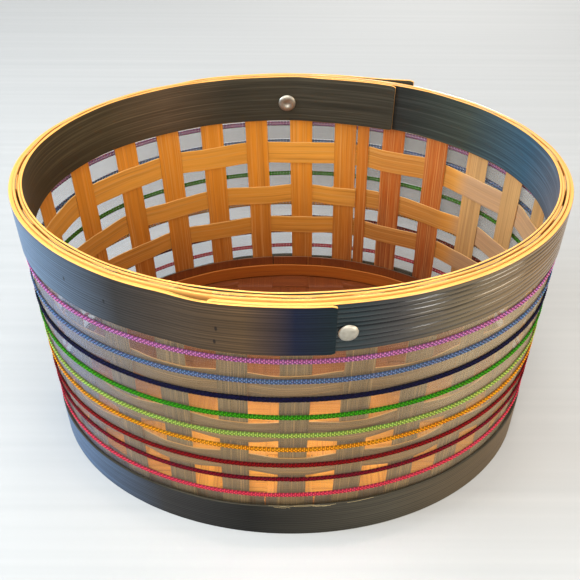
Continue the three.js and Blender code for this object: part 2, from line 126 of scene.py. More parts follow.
class NodeBook:
    """Adds nodes to one tree."""

    def __init__(self, tree: bpy.types.NodeTree) -> None:
        """Keeps the tree."""
        self.tree = tree

    def node(self, kind: str, settings: Inputs | None = None, inputs: Inputs | None = None) -> bpy.types.Node:
        """Adds a node.

        Args:
            kind: the node's type.
            settings: its own properties, or a ramp's stops.
            inputs: values or links of its sockets, by name or number.

        Returns:
            The new node.
        """
        node = self.tree.nodes.new(kind)
        for name, setting in (settings or {}).items():
            if name == "stops":
                self._set_stops(node.color_ramp, setting)
            else:
                setattr(node, name, setting)
        self.feed(node, inputs or {})
        return node

    def feed(self, node: bpy.types.Node, inputs: Inputs) -> None:
        """Sets or links a node's sockets."""
        for key, value in inputs.items():
            if isinstance(value, Value):
                self.tree.links.new(value.socket, node.inputs[key])
            else:
                node.inputs[key].default_value = value

    @staticmethod
    def _set_stops(ramp: bpy.types.ColorRamp, stops: Stops) -> None:
        """Gives a colour ramp its stops."""
        while len(ramp.elements) < len(stops):
            ramp.elements.new(0.5)
        for element, (place, colour) in zip(ramp.elements, stops):
            element.position = place
            element.color = colour

    def value(
        self, kind: str, settings: Inputs | None = None, inputs: Inputs | None = None, output: str | int = 0
    ) -> Value:
        """Adds a node and gives one of its outputs."""
        return Value(self, self.node(kind, settings, inputs).outputs[output])

    def math(self, operation: str, *values: Value | float) -> Value:
        """Adds a Math node."""
        return self.value("ShaderNodeMath", {"operation": operation}, dict(enumerate(values)))

    def vector(self, operation: str, *values: object) -> Value:
        """Adds a Vector Math node."""
        return self.value("ShaderNodeVectorMath", {"operation": operation}, dict(enumerate(values)))

    def scaled(self, vector: Value, scale: Value) -> Value:
        """A vector times a value."""
        return self.value("ShaderNodeVectorMath", {"operation": "SCALE"}, {0: vector, "Scale": scale})

    def clamp(self, value: Value, low: Value | float = 0.0, high: Value | float = 1.0) -> Value:
        """Keeps a value between two others."""
        return self.value("ShaderNodeClamp", None, {"Value": value, "Min": low, "Max": high})

    def rise(self, value: Value, low: float, high: float) -> Value:
        """Goes smoothly from 0 at low to 1 at high."""
        settings = {"interpolation_type": "SMOOTHSTEP"}
        return self.value("ShaderNodeMapRange", settings, {"Value": value, "From Min": low, "From Max": high})

    def mix(
        self, factor: Value | float, first: Value | Colour, second: Value | Colour, blend: str = "MIX"
    ) -> Value:
        """Mixes two colours."""
        settings = {"data_type": "RGBA", "blend_type": blend, "clamp_factor": True}
        return self.value("ShaderNodeMix", settings, {0: factor, 6: first, 7: second}, output=2)

    def multiply(self, colour: Value | Colour, tone: Value | Colour, share: float = 1.0) -> Value:
        """Multiplies a colour by a tone, as far as a share says."""
        return self.mix(share, colour, tone, "MULTIPLY")

    def colours(self, place: Value, stops: Stops) -> Value:
        """Colours that change from stop to stop."""
        return self.value("ShaderNodeValToRGB", {"stops": stops}, {"Fac": place})

    def combine(self, x: Value | float, y: Value | float, z: Value | float) -> Value:
        """Joins three values into a vector."""
        return self.value("ShaderNodeCombineXYZ", None, {0: x, 1: y, 2: z})

    def split(self, vector: Value) -> tuple[Value, Value, Value]:
        """Gives a vector's three values."""
        node = self.node("ShaderNodeSeparateXYZ", None, {0: vector})
        return tuple(Value(self, socket) for socket in node.outputs)

    def noise(self, vector: Value, scale: Place, detail: float, shift: float) -> Value:
        """Noise from 0 to 1 with its own scale along each axis."""
        inputs = {"Vector": vector, "Location": (shift, shift, shift), "Scale": scale}
        mapped = self.value("ShaderNodeMapping", None, inputs)
        return self.value("ShaderNodeTexNoise", None, {"Vector": mapped, "Scale": 1.0, "Detail": detail})


@dataclass(frozen=True)
class Layer:
    """One noise of a finish: its scale on each axis, detail and place, and where and how far it shows."""

    scale: Place
    detail: float = 2.0
    shift: float = 0.0
    span: Span = (0.0, 1.0)
    share: float = 1.0

    def noise(self, book: NodeBook, place: Value) -> Value:
        """The layer's noise, from 0 to 1."""
        return book.noise(place, self.scale, self.detail, self.shift)

    def mask(self, book: NodeBook, noise: Value) -> Value:
        """How far the layer shows where its noise is high."""
        return book.rise(noise, *self.span) * self.share


class Finish:
    """A material whose nodes a subclass adds."""

    name: str

    def material(self) -> bpy.types.Material:
        """Builds the material.

        Returns:
            The finished material.
        """
        made = bpy.data.materials.new(self.name)
        made.use_nodes = True
        self.dress(NodeBook(made.node_tree), made.node_tree.nodes["Principled BSDF"])
        LOG.info("finish %s", self.name)
        return made

    def dress(self, book: NodeBook, shader: bpy.types.Node) -> None:
        """Feeds the shader."""
        raise NotImplementedError

    @staticmethod
    def grain(book: NodeBook) -> Value:
        """The place along and across the fibres, in metres."""
        return book.value("ShaderNodeUVMap", {"uv_map": GRAIN})

    @staticmethod
    def place(book: NodeBook) -> Value:
        """The place on the basket, in metres."""
        return book.value("ShaderNodeTexCoord", output="Object")

    @staticmethod
    def skin(book: NodeBook) -> Value:
        """1 on the outer face, a little less in its grooves, -1 on the inner face and 0 on the cut edges."""
        return book.value("ShaderNodeAttribute", {"attribute_name": SKIN}, output="Fac")

    @staticmethod
    def bump(book: NodeBook, shader: bpy.types.Node, height: Value, strength: float, depth: float) -> None:
        """Raises the surface by a height."""
        inputs = {"Strength": strength, "Distance": depth, "Height": height}
        book.feed(shader, {"Normal": book.value("ShaderNodeBump", None, inputs)})


@dataclass(frozen=True)
class SplintFinish(Finish):
    """Split bamboo: natural inside, stained or natural outside, pale on the cut edges."""

    name: str
    inside: Colour
    outside: Colour
    edge: Colour = screen(216, 168, 104)
    # Painted light (paler) and painted shadow (darker) on the inner face, each over a span of turns round the
    # wall in degrees
    painted_light: Colour | None = None
    painted_shadow: Colour | None = None
    painted_light_span: tuple[float, float, float, float] = (84.0, 98.0, 126.0, 134.0)
    painted_shadow_span: tuple[float, float, float, float] = (128.0, 137.0, 152.0, 172.0)
    # Painted shade low down on the inner face: the tone it is multiplied by, and the heights over which it
    # fades out
    low_shade_tone: Colour = (0.6, 0.48, 0.4, 1.0)
    low_shade_span: Span = (0.01, 0.11)
    face_span: Span = (-0.2, 0.3)
    cut_span: Span = (0.15, 0.55)
    cut_share: float = 0.6
    tone: Layer = Layer((9, 240, 1), share=0.6)
    streak: Layer = Layer((12, 900, 1), 4.0, 3.7, (0.5, 0.75), 0.42)
    line: Layer = Layer((5, 1500, 1), 1.0, 1.9, (0.52, 0.66), 0.3)
    fibre: Layer = Layer((60, 2600, 1), 2.0, 8.1, (0.35, 0.75), 0.15)
    tone_dark: Colour = screen(140, 128, 120)
    streak_tone: Colour = screen(140, 118, 100)
    roughness: float = 0.42
    streak_roughness: float = 0.22
    gloss: float = 0.45
    streak_relief: float = 0.7
    relief_strength: float = 0.35
    relief: float = 0.25 * MM

    def dress(self, book: NodeBook, shader: bpy.types.Node) -> None:
        """Feeds fibre streaks, slow tone changes and pale edges to the shader."""
        grain = self.grain(book)
        skin = self.skin(book)
        layers = (self.tone, self.streak, self.line, self.fibre)
        tone, streak, line, fibre = (layer.noise(book, grain) for layer in layers)
        face = book.mix(book.rise(skin, *self.face_span), self.bare(book), self.outside)
        toned = book.multiply(face, book.mix(tone, self.tone_dark, WHITE), self.tone.share)
        sunk = book.multiply(face, self.streak_tone)
        colour = book.mix(self.streak.mask(book, streak), toned, sunk)
        colour = book.mix(self.line.mask(book, line), colour, self.edge)
        colour = book.mix(self.fibre.mask(book, fibre), colour, self.edge)
        cut = 1 - book.rise(abs(skin), *self.cut_span)
        book.feed(shader, {"Base Color": book.mix(cut * self.cut_share, colour, self.edge)})
        rough = self.roughness + self.streak_roughness * streak
        book.feed(shader, {"Roughness": rough, "Specular IOR Level": self.gloss})
        height = streak * self.streak_relief + fibre * (1 - self.streak_relief)
        self.bump(book, shader, height, self.relief_strength, self.relief)

    def bare(self, book: NodeBook) -> Value:
        """The colour of the inner face, with painted light and painted shadow in places round the wall and
        painted shade low down.
        """
        x, y, height = book.split(self.place(book))
        turn = x.math("ARCTAN2", y * -OVAL) * math.degrees(1)
        tone = self.inside
        # Paints the light on the right inside wall and the shadow towards the back right
        for colour, span in ((self.painted_light, self.painted_light_span), (self.painted_shadow, self.painted_shadow_span)):
            if colour:
                share = book.rise(turn, *span[:2]) * (1 - book.rise(turn, *span[2:]))
                tone = book.mix(share, tone, colour)
        # Painted shade, darker low down inside the basket
        deep = book.multiply(tone, self.low_shade_tone)
        return book.mix(book.rise(height, *self.low_shade_span), deep, tone)


@dataclass(frozen=True)
class FrontLitFinish(SplintFinish):
    """Floor splints, painted lighter towards the front, where light falls through the wall, and darker at the
    back, partly their own colour and partly painted shade.
    """

    # Painted light towards the front, and the depths over which it fades out
    painted_front_light: Colour = screen(250, 172, 60)
    front_light_span: Span = (-0.07, 0.03)

    def bare(self, book: NodeBook) -> Value:
        """The colour of the inner face, with painted light towards the front."""
        _, depth, _ = book.split(self.place(book))
        return book.mix(1 - book.rise(depth, *self.front_light_span), self.inside, self.painted_front_light)


@dataclass(frozen=True)
class BandFinish(Finish):
    """A stained splint band with a satin face and natural edges."""

    name: str
    stops: Stops
    start: float
    length: float
    roughness: float
    edge: Colour = screen(240, 174, 90)
    edge_dark: Colour = screen(176, 104, 40)
    gloss: float = 0.12
    # Share of the lighter rib crests and darker grooves, partly wear and partly painted highlight and painted
    # shade
    marking: float = 0.25
    knots: tuple[Span, ...] = ()
    knot_size: Span = (0.7 * MM, 1.5 * MM)
    knot_span: Span = (0.2, 1.2)
    knot_share: float = 0.8
    knot_colour: Colour = screen(12, 12, 14)
    crest_span: Span = (1 - 0.35 * GROOVE_SKIN, 1.0)
    face_span: Span = (0.7, 0.75)
    groove_span: Span = (1 - GROOVE_SKIN, 1 - 0.4 * GROOVE_SKIN)
    cut_span: Span = (0.3, 0.7)
    tone: Layer = Layer((14, 150, 1), share=0.7)
    streak: Layer = Layer((7, 900, 1), 4.0, 2.9, (0.45, 0.75), 0.5)
    fibre: Layer = Layer((40, 3200, 1), 2.0, 6.3, (0.5, 0.75), 0.5)
    split: Layer = Layer((22, 2400, 1), 3.0, 5.5, (0.5, 0.72), 0.6)
    tone_dark: Colour = screen(120, 120, 120)
    fibre_tone: Colour = screen(110, 110, 110)
    light: Colour = (2.1, 2.05, 1.95, 1.0)
    streak_roughness: float = 0.15
    streak_relief: float = 0.6
    relief_strength: float = 0.4
    relief: float = 0.2 * MM

    def dress(self, book: NodeBook, shader: bpy.types.Node) -> None:
        """Feeds the stain along the band, partly painted cool and warm light, its streaks, knots and natural
        edges to the shader.
        """
        grain = self.grain(book)
        along, across, _ = book.split(grain)
        skin = self.skin(book)
        depth = abs(skin)
        layers = (self.tone, self.streak, self.fibre, self.split)
        tone, streak, fibre, split = (layer.noise(book, grain) for layer in layers)
        # The stops are partly stain and partly painted light: cool on the bands' left sides, warm on their
        # right sides
        stain = book.colours((along - self.start) / self.length, self.stops)
        toned = book.multiply(stain, book.mix(tone, self.tone_dark, WHITE), self.tone.share)
        lifted = book.multiply(stain, self.light)
        sunk = book.multiply(stain, self.fibre_tone)
        colour = book.mix(self.streak.mask(book, streak), toned, lifted)
        colour = book.mix(self.fibre.mask(book, fibre), colour, sunk)
        # Lighter crests: partly wear, partly a painted highlight along the ribs
        colour = book.mix(book.rise(skin, *self.crest_span) * self.marking, colour, lifted)
        # Darker grooves: partly wear, partly painted shade in the grooves
        groove = book.rise(depth, *self.face_span) * (1 - book.rise(depth, *self.groove_span))
        colour = book.mix(groove * self.marking, colour, sunk)
        for place, height in self.knots:
            wide = (along - place) / self.knot_size[0]
            high = (across - height) / self.knot_size[1]
            clear = book.rise(wide ** 2.0 + high ** 2.0, *self.knot_span)
            colour = book.mix(self.knot_share - self.knot_share * clear, colour, self.knot_colour)
        natural = book.mix(self.split.mask(book, split), self.edge, self.edge_dark)
        cut = 1 - book.rise(depth, *self.cut_span)
        book.feed(shader, {"Base Color": book.mix(cut, colour, natural)})
        rough = self.roughness + self.streak_roughness * streak
        book.feed(shader, {"Roughness": rough, "Specular IOR Level": self.gloss})
        relief = streak * self.streak_relief + fibre * (1 - self.streak_relief)
        self.bump(book, shader, relief, self.relief_strength, self.relief)


@dataclass(frozen=True)
class NetFinish(Finish):
    """The sheer ground of the net.

    Its covers are places from the back over the left, the front and the right, each with its cover and tint.
    The blue tints on the left and the pale warm ones on the right are painted light on the net, and the dark,
    densest cover at the back right is a painted shadow seen through the back wall.
    """

    girth: float
    cords: tuple[Span, ...]
    name: str = "net_ground"
    cord_reach: Span = (1.1 * MM, 1.7 * MM)
    open_span: Span = (0.2, 0.27)
    sheer_span: Span = (-38 * MM, 20 * MM)
    sheer_low: float = 0.4
    cloud: Layer = Layer((40, 60, 1), share=0.6)
    weft: Layer = Layer((4, 1800, 1), 1.0, 1.3, share=0.06)
    cloud_tone: Colour = screen(122, 116, 106)
    roughness: float = 0.5
    cloud_roughness: float = 0.2
    # Painted light: blue tints on the left, pale warm tints on the right; painted shadow: the dark, densest
    # cover at the back right
    covers: tuple[tuple[float, float, Colour], ...] = (
        (0.5, 0.38, screen(104, 96, 84)),
        (0.62, 0.28, screen(110, 104, 98)),
        (0.73, 0.18, screen(120, 130, 150)),
        (0.79, 0.34, screen(132, 156, 190)),
        (0.85, 0.35, screen(122, 146, 184)),
        (0.9, 0.16, screen(116, 122, 134)),
        (0.94, 0.08, screen(104, 96, 84)),
        (1.05, 0.08, screen(120, 110, 94)),
        (1.1, 0.28, screen(190, 172, 140)),
        (1.15, 0.33, screen(204, 188, 158)),
        (1.21, 0.33, screen(204, 190, 164)),
        (1.27, 0.34, screen(130, 122, 108)),
        (1.35, 0.56, screen(104, 96, 84)),
        (1.5, 0.38, screen(104, 96, 84)),
    )

    def dress(self, book: NodeBook, shader: bpy.types.Node) -> None:
        """Feeds the ground's cover, denser at the sides and, as a painted shadow, at the back, to the
        shader's alpha.
        """
        grain = self.grain(book)
        along, height, _ = book.split(grain)
        first = self.covers[0][0]
        share = along / self.girth - first
        cover = book.colours(share, tuple((place - first, (c, c, c, 1.0)) for place, c, _ in self.covers))
        tint = book.colours(share, tuple((place - first, colour) for place, _, colour in self.covers))
        cloud = self.cloud.noise(book, grain)
        weft = self.weft.noise(book, grain)
        # The tint, with painted light at the sides, goes to the colour
        book.feed(shader, {"Base Color": book.mix(cloud * self.cloud.share, tint, self.cloud_tone)})
        dense = self.sheer_low + (1 - self.sheer_low) * book.rise(height, *self.sheer_span)
        veil = dense * cover + self.weft.share * (weft - 0.5)
        swing = (along * (FULL_TURN / self.girth)).math("SINE")
        back = book.rise(abs(share - 0.5), *self.open_span)
        for middle, slant in self.cords:
            clear = 1 - book.rise(abs(height - middle - slant * swing), *self.cord_reach)
            veil = veil * (1 - back * clear)
        book.feed(shader, {"Alpha": veil, "Roughness": self.roughness + self.cloud_roughness * cloud})


@dataclass(frozen=True)
class YarnFinish(Finish):
    """Dyed yarn of a cord or a net thread."""

    name: str
    colour: Colour
    shade: float = 0.2
    glow: float = 0.0
    glow_reach: float = 0.9 * MM
    fibre: Layer = Layer((2200, 2200, 2200), share=0.3)
    slow: Layer = Layer((60, 60, 60), 1.0, 4.0, share=0.3)
    over_span: Span = (0.15, 0.85)
    roughness: float = 0.65
    fibre_roughness: float = 0.2
    gloss: float = 0.1
    relief_strength: float = 0.3
    relief: float = 0.15 * MM

    def dress(self, book: NodeBook, shader: bpy.types.Node) -> None:
        """Feeds the yarn's colour with its fine fibres, and painted shade where a strand passes under, to the
        shader.
        """
        place = self.place(book)
        fibre = self.fibre.noise(book, place)
        slow = self.slow.noise(book, place)
        # Painted shade: darker where a strand passes under the others, in the braid's valleys
        deep = tuple(c * self.shade for c in self.colour[:3]) + (1.0,)
        over = book.rise(abs(self.skin(book)), *self.over_span)
        dye_and_shade = book.mix(over * (1 - self.fibre.share + self.fibre.share * fibre), deep, self.colour)
        book.feed(shader, {"Base Color": book.mix(slow * self.slow.share, dye_and_shade, deep)})
        rough = self.roughness + self.fibre_roughness * fibre
        book.feed(shader, {"Roughness": rough, "Specular IOR Level": self.gloss})
        book.feed(shader, {"Subsurface Weight": self.glow, "Subsurface Scale": self.glow_reach})
        self.bump(book, shader, fibre, self.relief_strength, self.relief)


@dataclass(frozen=True)
class RivetFinish(Finish):
    """Plain aluminium, lightly worn."""

    name: str = "rivet_metal"
    worn: Colour = screen(140, 134, 122)
    bright: Colour = screen(200, 194, 180)
    marking: Layer = Layer((420, 420, 420), 4.0)
    roughness: float = 0.36
    wear_roughness: float = 0.2
    relief_strength: float = 0.15
    relief: float = 0.1 * MM

    def dress(self, book: NodeBook, shader: bpy.types.Node) -> None:
        """Feeds worn metal to the shader."""
        marking = self.marking.noise(book, self.place(book))
        book.feed(shader, {"Base Color": book.mix(marking, self.worn, self.bright)})
        book.feed(shader, {"Metallic": 1.0, "Roughness": self.roughness + self.wear_roughness * marking})
        self.bump(book, shader, marking, self.relief_strength, self.relief)


@dataclass(frozen=True)
class FloorFinish(Finish):
    """The pale floor under the basket."""

    name: str = "pale_floor"
    low: Colour = screen(170, 170, 169)
    high: Colour = screen(180, 180, 178)
    far: Colour = (0.97, 0.97, 0.97, 1.0)
    reach: Span = (0.7, 2.0)
    ribs: Layer = Layer((2, 160, 1), 1.0)
    roughness: float = 0.75
    rib_roughness: float = 0.1
    gloss: float = 0.1

    def dress(self, book: NodeBook, shader: bpy.types.Node) -> None:
        """Feeds a pale, faintly ribbed surface, which grows paler away from the basket, to the shader."""
        place = self.place(book)
        ribs = self.ribs.noise(book, place)
        distance = book.value("ShaderNodeVectorMath", {"operation": "LENGTH"}, {0: place}, output=1)
        near = book.mix(ribs, self.low, self.high)
        book.feed(shader, {"Base Color": book.mix(book.rise(distance, *self.reach), near, self.far)})
        rough = self.roughness + self.rib_roughness * ribs
        book.feed(shader, {"Roughness": rough, "Specular IOR Level": self.gloss})


class Side(Enum):
    """The side of the stakes on which a splint passes."""

    INSIDE = -1
    OUTSIDE = 1


@dataclass(frozen=True)
class Wall:
    """The oval through the middle of the stakes, sloping inwards towards the foot."""

    half_width: float
    half_depth: float
    slope: float
    rim_height: float

    @classmethod
    def from_frame(cls, band_face: float, flare: float) -> "Wall":
        """Takes the oval from the right rim band.

        Args:
            band_face: distance of that band's outer face from the middle of the stakes.
            flare: how much further out the rim stands than the foot.

        Returns:
            The wall.
        """
        _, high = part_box("rim_band_right")
        return cls(high.x - band_face, high.y - band_face, flare / high.z, high.z)

    def point(self, turn: np.ndarray, offset: np.ndarray, height: np.ndarray) -> np.ndarray:
        """Points on the wall.

        Args:
            turn: turn round the oval from the front towards +X, in radians.
            offset: distance outwards from the middle of the stakes.
            height: height above the ground.

        Returns:
            The points, with x, y and z along the last axis.
        """
        turn, offset, height = np.broadcast_arrays(turn, offset, height)
        outward = np.stack([self.half_depth * np.sin(turn), -self.half_width * np.cos(turn)], -1)
        outward = outward / np.linalg.norm(outward, axis=-1, keepdims=True)
        reach = offset - self.slope * (self.rim_height - height)
        base = np.stack([self.half_width * np.sin(turn), -self.half_depth * np.cos(turn)], -1)
        return np.concatenate([base + outward * reach[..., None], height[..., None]], -1)

    def chart(self) -> tuple[np.ndarray, np.ndarray]:
        """Turns and the distances round the oval that they reach."""
        turns = np.linspace(*CHART_REACH, CHART_STEPS)
        pace = np.hypot(self.half_width * np.cos(turns), self.half_depth * np.sin(turns))
        steps = (pace[1:] + pace[:-1]) / 2 * np.diff(turns)
        reached = np.concatenate([[0], np.cumsum(steps)])
        return turns, reached - np.interp(0, turns, reached)

    def distance(self, turn: Numbers) -> np.ndarray:
        """Distance round the oval from the front."""
        return np.interp(turn, *self.chart())

    def turn_at(self, distance: Numbers) -> np.ndarray:
        """Turn that a distance round the oval reaches."""
        turns, reached = self.chart()
        return np.interp(distance, reached, turns)

    def girth(self) -> float:
        """Length of the oval."""
        return float(self.distance(FULL_TURN))

    def turn_of(self, node: str) -> float:
        """Turn at which a node's middle stands, from 0 to a whole turn."""
        low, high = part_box(node)
        middle = (low + high) / 2
        turn = math.atan2(middle.x / self.half_width, -middle.y / self.half_depth)
        return turn % FULL_TURN


@dataclass(frozen=True)
class Section:
    """A splint's section: flat faces, rounded edges and lengthwise ribs on the outer face."""

    height: float
    rounding: float = 0.35 * MM
    steps: int = 9
    plain_steps: int = 5
    ribs: int = 0
    rib_depth: float = 0.0
    seed: int = 1
    rib_shift: float = 0.25
    groove_depths: Span = (0.4, 1.0)
    crown_power: float = 0.7

    def loop(self) -> tuple[np.ndarray, np.ndarray, np.ndarray, np.ndarray]:
        """Points round the section.

        Returns:
            Places across the thickness and the height, from -1 to 1, the relief outwards, and the skin value.
        """
        ease = 2 * self.rounding / self.height
        edge = [(0.45, 1.0, 0.0), (0.85, 1 - 0.3 * ease, 0.45), (1.0, 1 - ease, 0.8)]
        sides = []
        for steps in (self.steps, self.plain_steps):
            face = [(1.0, b, 1.0) for b in np.linspace(2 * ease - 1, 1 - 2 * ease, steps)]
            sides.append([(a, -b, s) for a, b, s in edge] + face + edge[::-1])
        outer, inner = sides
        across, up, skin = np.array(outer + [(-a, b, -s) for a, b, s in inner[::-1]]).T
        relief = np.where(skin >= 1.0, self.rib_relief(up), 0.0)
        if self.ribs:
            skin = skin + GROOVE_SKIN * relief / self.rib_depth
        return across, up, relief, skin

    def rib_relief(self, up: np.ndarray) -> np.ndarray:
        """Depth of the grooves between the ribs at places across the height."""
        if not self.ribs:
            return np.zeros_like(up)
        rng = np.random.default_rng(self.seed)
        grooves = np.linspace(-1, 1, self.ribs + 1)
        grooves[1:-1] += rng.uniform(-self.rib_shift, self.rib_shift, self.ribs - 1) / self.ribs
        depths = rng.uniform(*self.groove_depths, self.ribs)
        rib = np.clip(np.searchsorted(grooves, up) - 1, 0, self.ribs - 1)
        share = (up - grooves[rib]) / (grooves[rib + 1] - grooves[rib])
        crown = np.abs(np.sin(math.pi * np.clip(share, 0, 1))) ** self.crown_power
        return -self.rib_depth * depths[rib] * (1 - crown)


@dataclass
class Strip:
    """A flat splint bent along the wall."""

    wall: Wall
    turns: np.ndarray
    near: Numbers
    far: Numbers
    low: Numbers
    high: Numbers
    section: Section
    closed: bool = False

    def mesh(self, name: str, material: bpy.types.Material) -> bpy.types.Object:
        """Builds the strip.

        Args:
            name: the piece's name.
            material: its finish.

        Returns:
            The new object, at the origin.
        """
        across, up, relief, skin = self.section.loop()
        near, far, low, high = (self._column(size) for size in (self.near, self.far, self.low, self.high))
        offset = (near + far) / 2 + (far - near) / 2 * across + relief
        height = (low + high) / 2 + (high - low) / 2 * up
        points = self.wall.point(self.turns[:, None], offset, height)
        along = np.broadcast_to(self.wall.distance(self.turns)[:, None], offset.shape)
        grain = np.stack([along, up * self.section.height / 2 + (far - near) / 2 * across], -1)
        skins = np.tile(skin, len(self.turns))
        faces = self._faces(*offset.shape)
        return make_piece(name, points.reshape(-1, 3), faces, grain.reshape(-1, 2), skins, material)

    def _column(self, size: Numbers) -> np.ndarray:
        """One size for each station, as a column."""
        return np.broadcast_to(np.asarray(size, float), self.turns.shape)[:, None]

    def _faces(self, stations: int, loop: int) -> list[list[int]]:
        """Faces between the stations, with caps on an open strip."""
        index = np.arange(stations * loop).reshape(stations, loop)
        here = index if self.closed else index[:-1]
        after = np.roll(index, -1, 0) if self.closed else index[1:]
        quads = np.stack([here, after, np.roll(after, -1, 1), np.roll(here, -1, 1)], -1)
        faces = quads.reshape(-1, 4).tolist()
        if not self.closed:
            faces += [index[0].tolist(), index[-1][::-1].tolist()]
        return faces


def make_piece(
    name: str, points: np.ndarray, faces: list[list[int]], grain: np.ndarray, skin: np.ndarray,
    material: bpy.types.Material,
) -> bpy.types.Object:
    """Makes a mesh object with its grain map, skin values and finish.

    Args:
        name: the piece's name.
        points: the vertices.
        faces: the faces' vertices.
        grain: each vertex's place along and across the fibres.
        skin: each vertex's skin value.
        material: the finish.

    Returns:
        The new object, at the origin.
    """
    mesh = bpy.data.meshes.new(name)
    mesh.from_pydata(points.tolist(), [], faces)
    corners = np.empty(len(mesh.loops), np.int32)
    mesh.loops.foreach_get("vertex_index", corners)
    layer = mesh.uv_layers.new(name=GRAIN)
    layer.uv.foreach_set("vector", grain[corners].astype(np.float32).ravel())
    mesh.attributes.new(SKIN, "FLOAT", "POINT").data.foreach_set("value", skin.astype(np.float32))
    mesh.materials.append(material)
    return add_object(name, mesh)


def add_object(name: str, mesh: bpy.types.Mesh, sharp: float = 40.0) -> bpy.types.Object:
    """Links a mesh as a new object, smooth up to an angle in degrees."""
    mesh.shade_smooth()
    mesh.set_sharp_from_angle(angle=math.radians(sharp))
    piece = bpy.data.objects.new(name, mesh)
    bpy.context.scene.collection.objects.link(piece)
    return piece


def settle(piece: bpy.types.Object, slot: str, *nodes: str) -> bpy.types.Object:
    """Puts a finished piece on the basket.

    Args:
        piece: the piece.
        slot: the record's material slot; not used.
        nodes: the solids that it stands for.

    Returns:
        The piece.
    """
    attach(piece, BODY)
    if nodes:
        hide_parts(*nodes)
    LOG.info("piece %s, %d faces", piece.name, len(piece.data.polygons))
    return piece


def ramp(value: np.ndarray, start: Numbers, end: Numbers) -> np.ndarray:
    """Goes smoothly from 0 at start to 1 at end."""
    share = np.clip((value - start) / (end - start), 0, 1)
    return share * share * (3 - 2 * share)


def sway(turns: np.ndarray, size: float, seed: int) -> np.ndarray:
    """A slow, even wander along a splint, at most about the given size."""
    rng = np.random.default_rng(seed)
    rates = (3, 5, 8, 13, 21)
    waves = [rng.uniform(0.3, 1) * np.sin(rate * turns + rng.uniform(0, FULL_TURN)) for rate in rates]
    return size * sum(waves) / (len(rates) / 2)


class GeometryBook(NodeBook):
    """Adds the nodes that geometry trees share."""

    def position(self) -> tuple[Value, Value, Value]:
        """Each point's x, y and z."""
        return self.split(self.value("GeometryNodeInputPosition"))

    def moved(self, geometry: Value, place: Value) -> Value:
        """Puts each point in a new place."""
        return self.value("GeometryNodeSetPosition", None, {"Geometry": geometry, "Position": place})

    def store(self, geometry: Value, name: str, kind: str, domain: str, value: Value) -> Value:
        """Stores a named attribute."""
        inputs = {"Geometry": geometry, "Name": name, "Value": value}
        return self.value("GeometryNodeStoreNamedAttribute", {"data_type": kind, "domain": domain}, inputs)

    def skinned(self, geometry: Value, skin: Value) -> Value:
        """Stores each point's skin value."""
        return self.store(geometry, SKIN, "FLOAT", "POINT", skin)

    def grained(self, geometry: Value, along: Value, across: Value) -> Value:
        """Stores the map of the fibres."""
        return self.store(geometry, GRAIN, "FLOAT2", "CORNER", self.combine(along, across, 0.0))

    def wander(self, x: Value, y: Value) -> Value:
        """A slow noise about 0."""
        inputs = {"Vector": self.combine(x, y, 0.0), "Scale": 1.0}
        return self.value("ShaderNodeTexNoise", {"noise_dimensions": "2D"}, inputs) - 0.5

    def slab(self, size: Value, grid: tuple[int, int, int]) -> Value:
        """A box with a number of vertices along each side."""
        inputs = dict(zip(("Vertices X", "Vertices Y", "Vertices Z"), grid)) | {"Size": size}
        return self.value("GeometryNodeMeshCube", None, inputs)

    def line(self, start: Value | Place, end: Value, count: Value | int | None = None) -> Value:
        """A straight line, with evenly spread points where a count is given."""
        line = self.value("GeometryNodeCurvePrimitiveLine", None, {"Start": start, "End": end})
        if count is None:
            return line
        return self.value("GeometryNodeResampleCurve", None, {"Curve": line, "Count": count})

    def copies(self, geometry: Value, count: Value | int, spread: Value | None = None) -> Value:
        """Numbered copies, one on the other or spread evenly along a vector."""
        index = self.value("GeometryNodeInputIndex")
        inputs = {"Count": count}
        if spread is not None:
            inputs["Position"] = self.scaled(spread, index / count)
        points = self.value("GeometryNodePoints", None, inputs)
        copies = self.value("GeometryNodeInstanceOnPoints", None, {"Points": points, "Instance": geometry})
        numbered = self.store(copies, COPY, "FLOAT", "INSTANCE", index)
        return self.value("GeometryNodeRealizeInstances", None, {0: numbered})

    def number(self) -> Value:
        """Each copy's number."""
        return self.value("GeometryNodeInputNamedAttribute", {"data_type": "FLOAT"}, {"Name": COPY})

    def join(self, *geometry: Value) -> Value:
        """Several geometries as one."""
        node = self.node("GeometryNodeJoinGeometry")
        for each in geometry:
            self.feed(node, {0: each})
        return Value(self, node.outputs[0])

    def tube(self, curve: Value, radius: Value, sides: int) -> Value:
        """A closed tube along each curve."""
        ring = {"Resolution": sides, "Radius": radius}
        profile = self.value("GeometryNodeCurvePrimitiveCircle", None, ring)
        inputs = {"Curve": curve, "Profile Curve": profile, "Fill Caps": True}
        return self.value("GeometryNodeCurveToMesh", None, inputs)


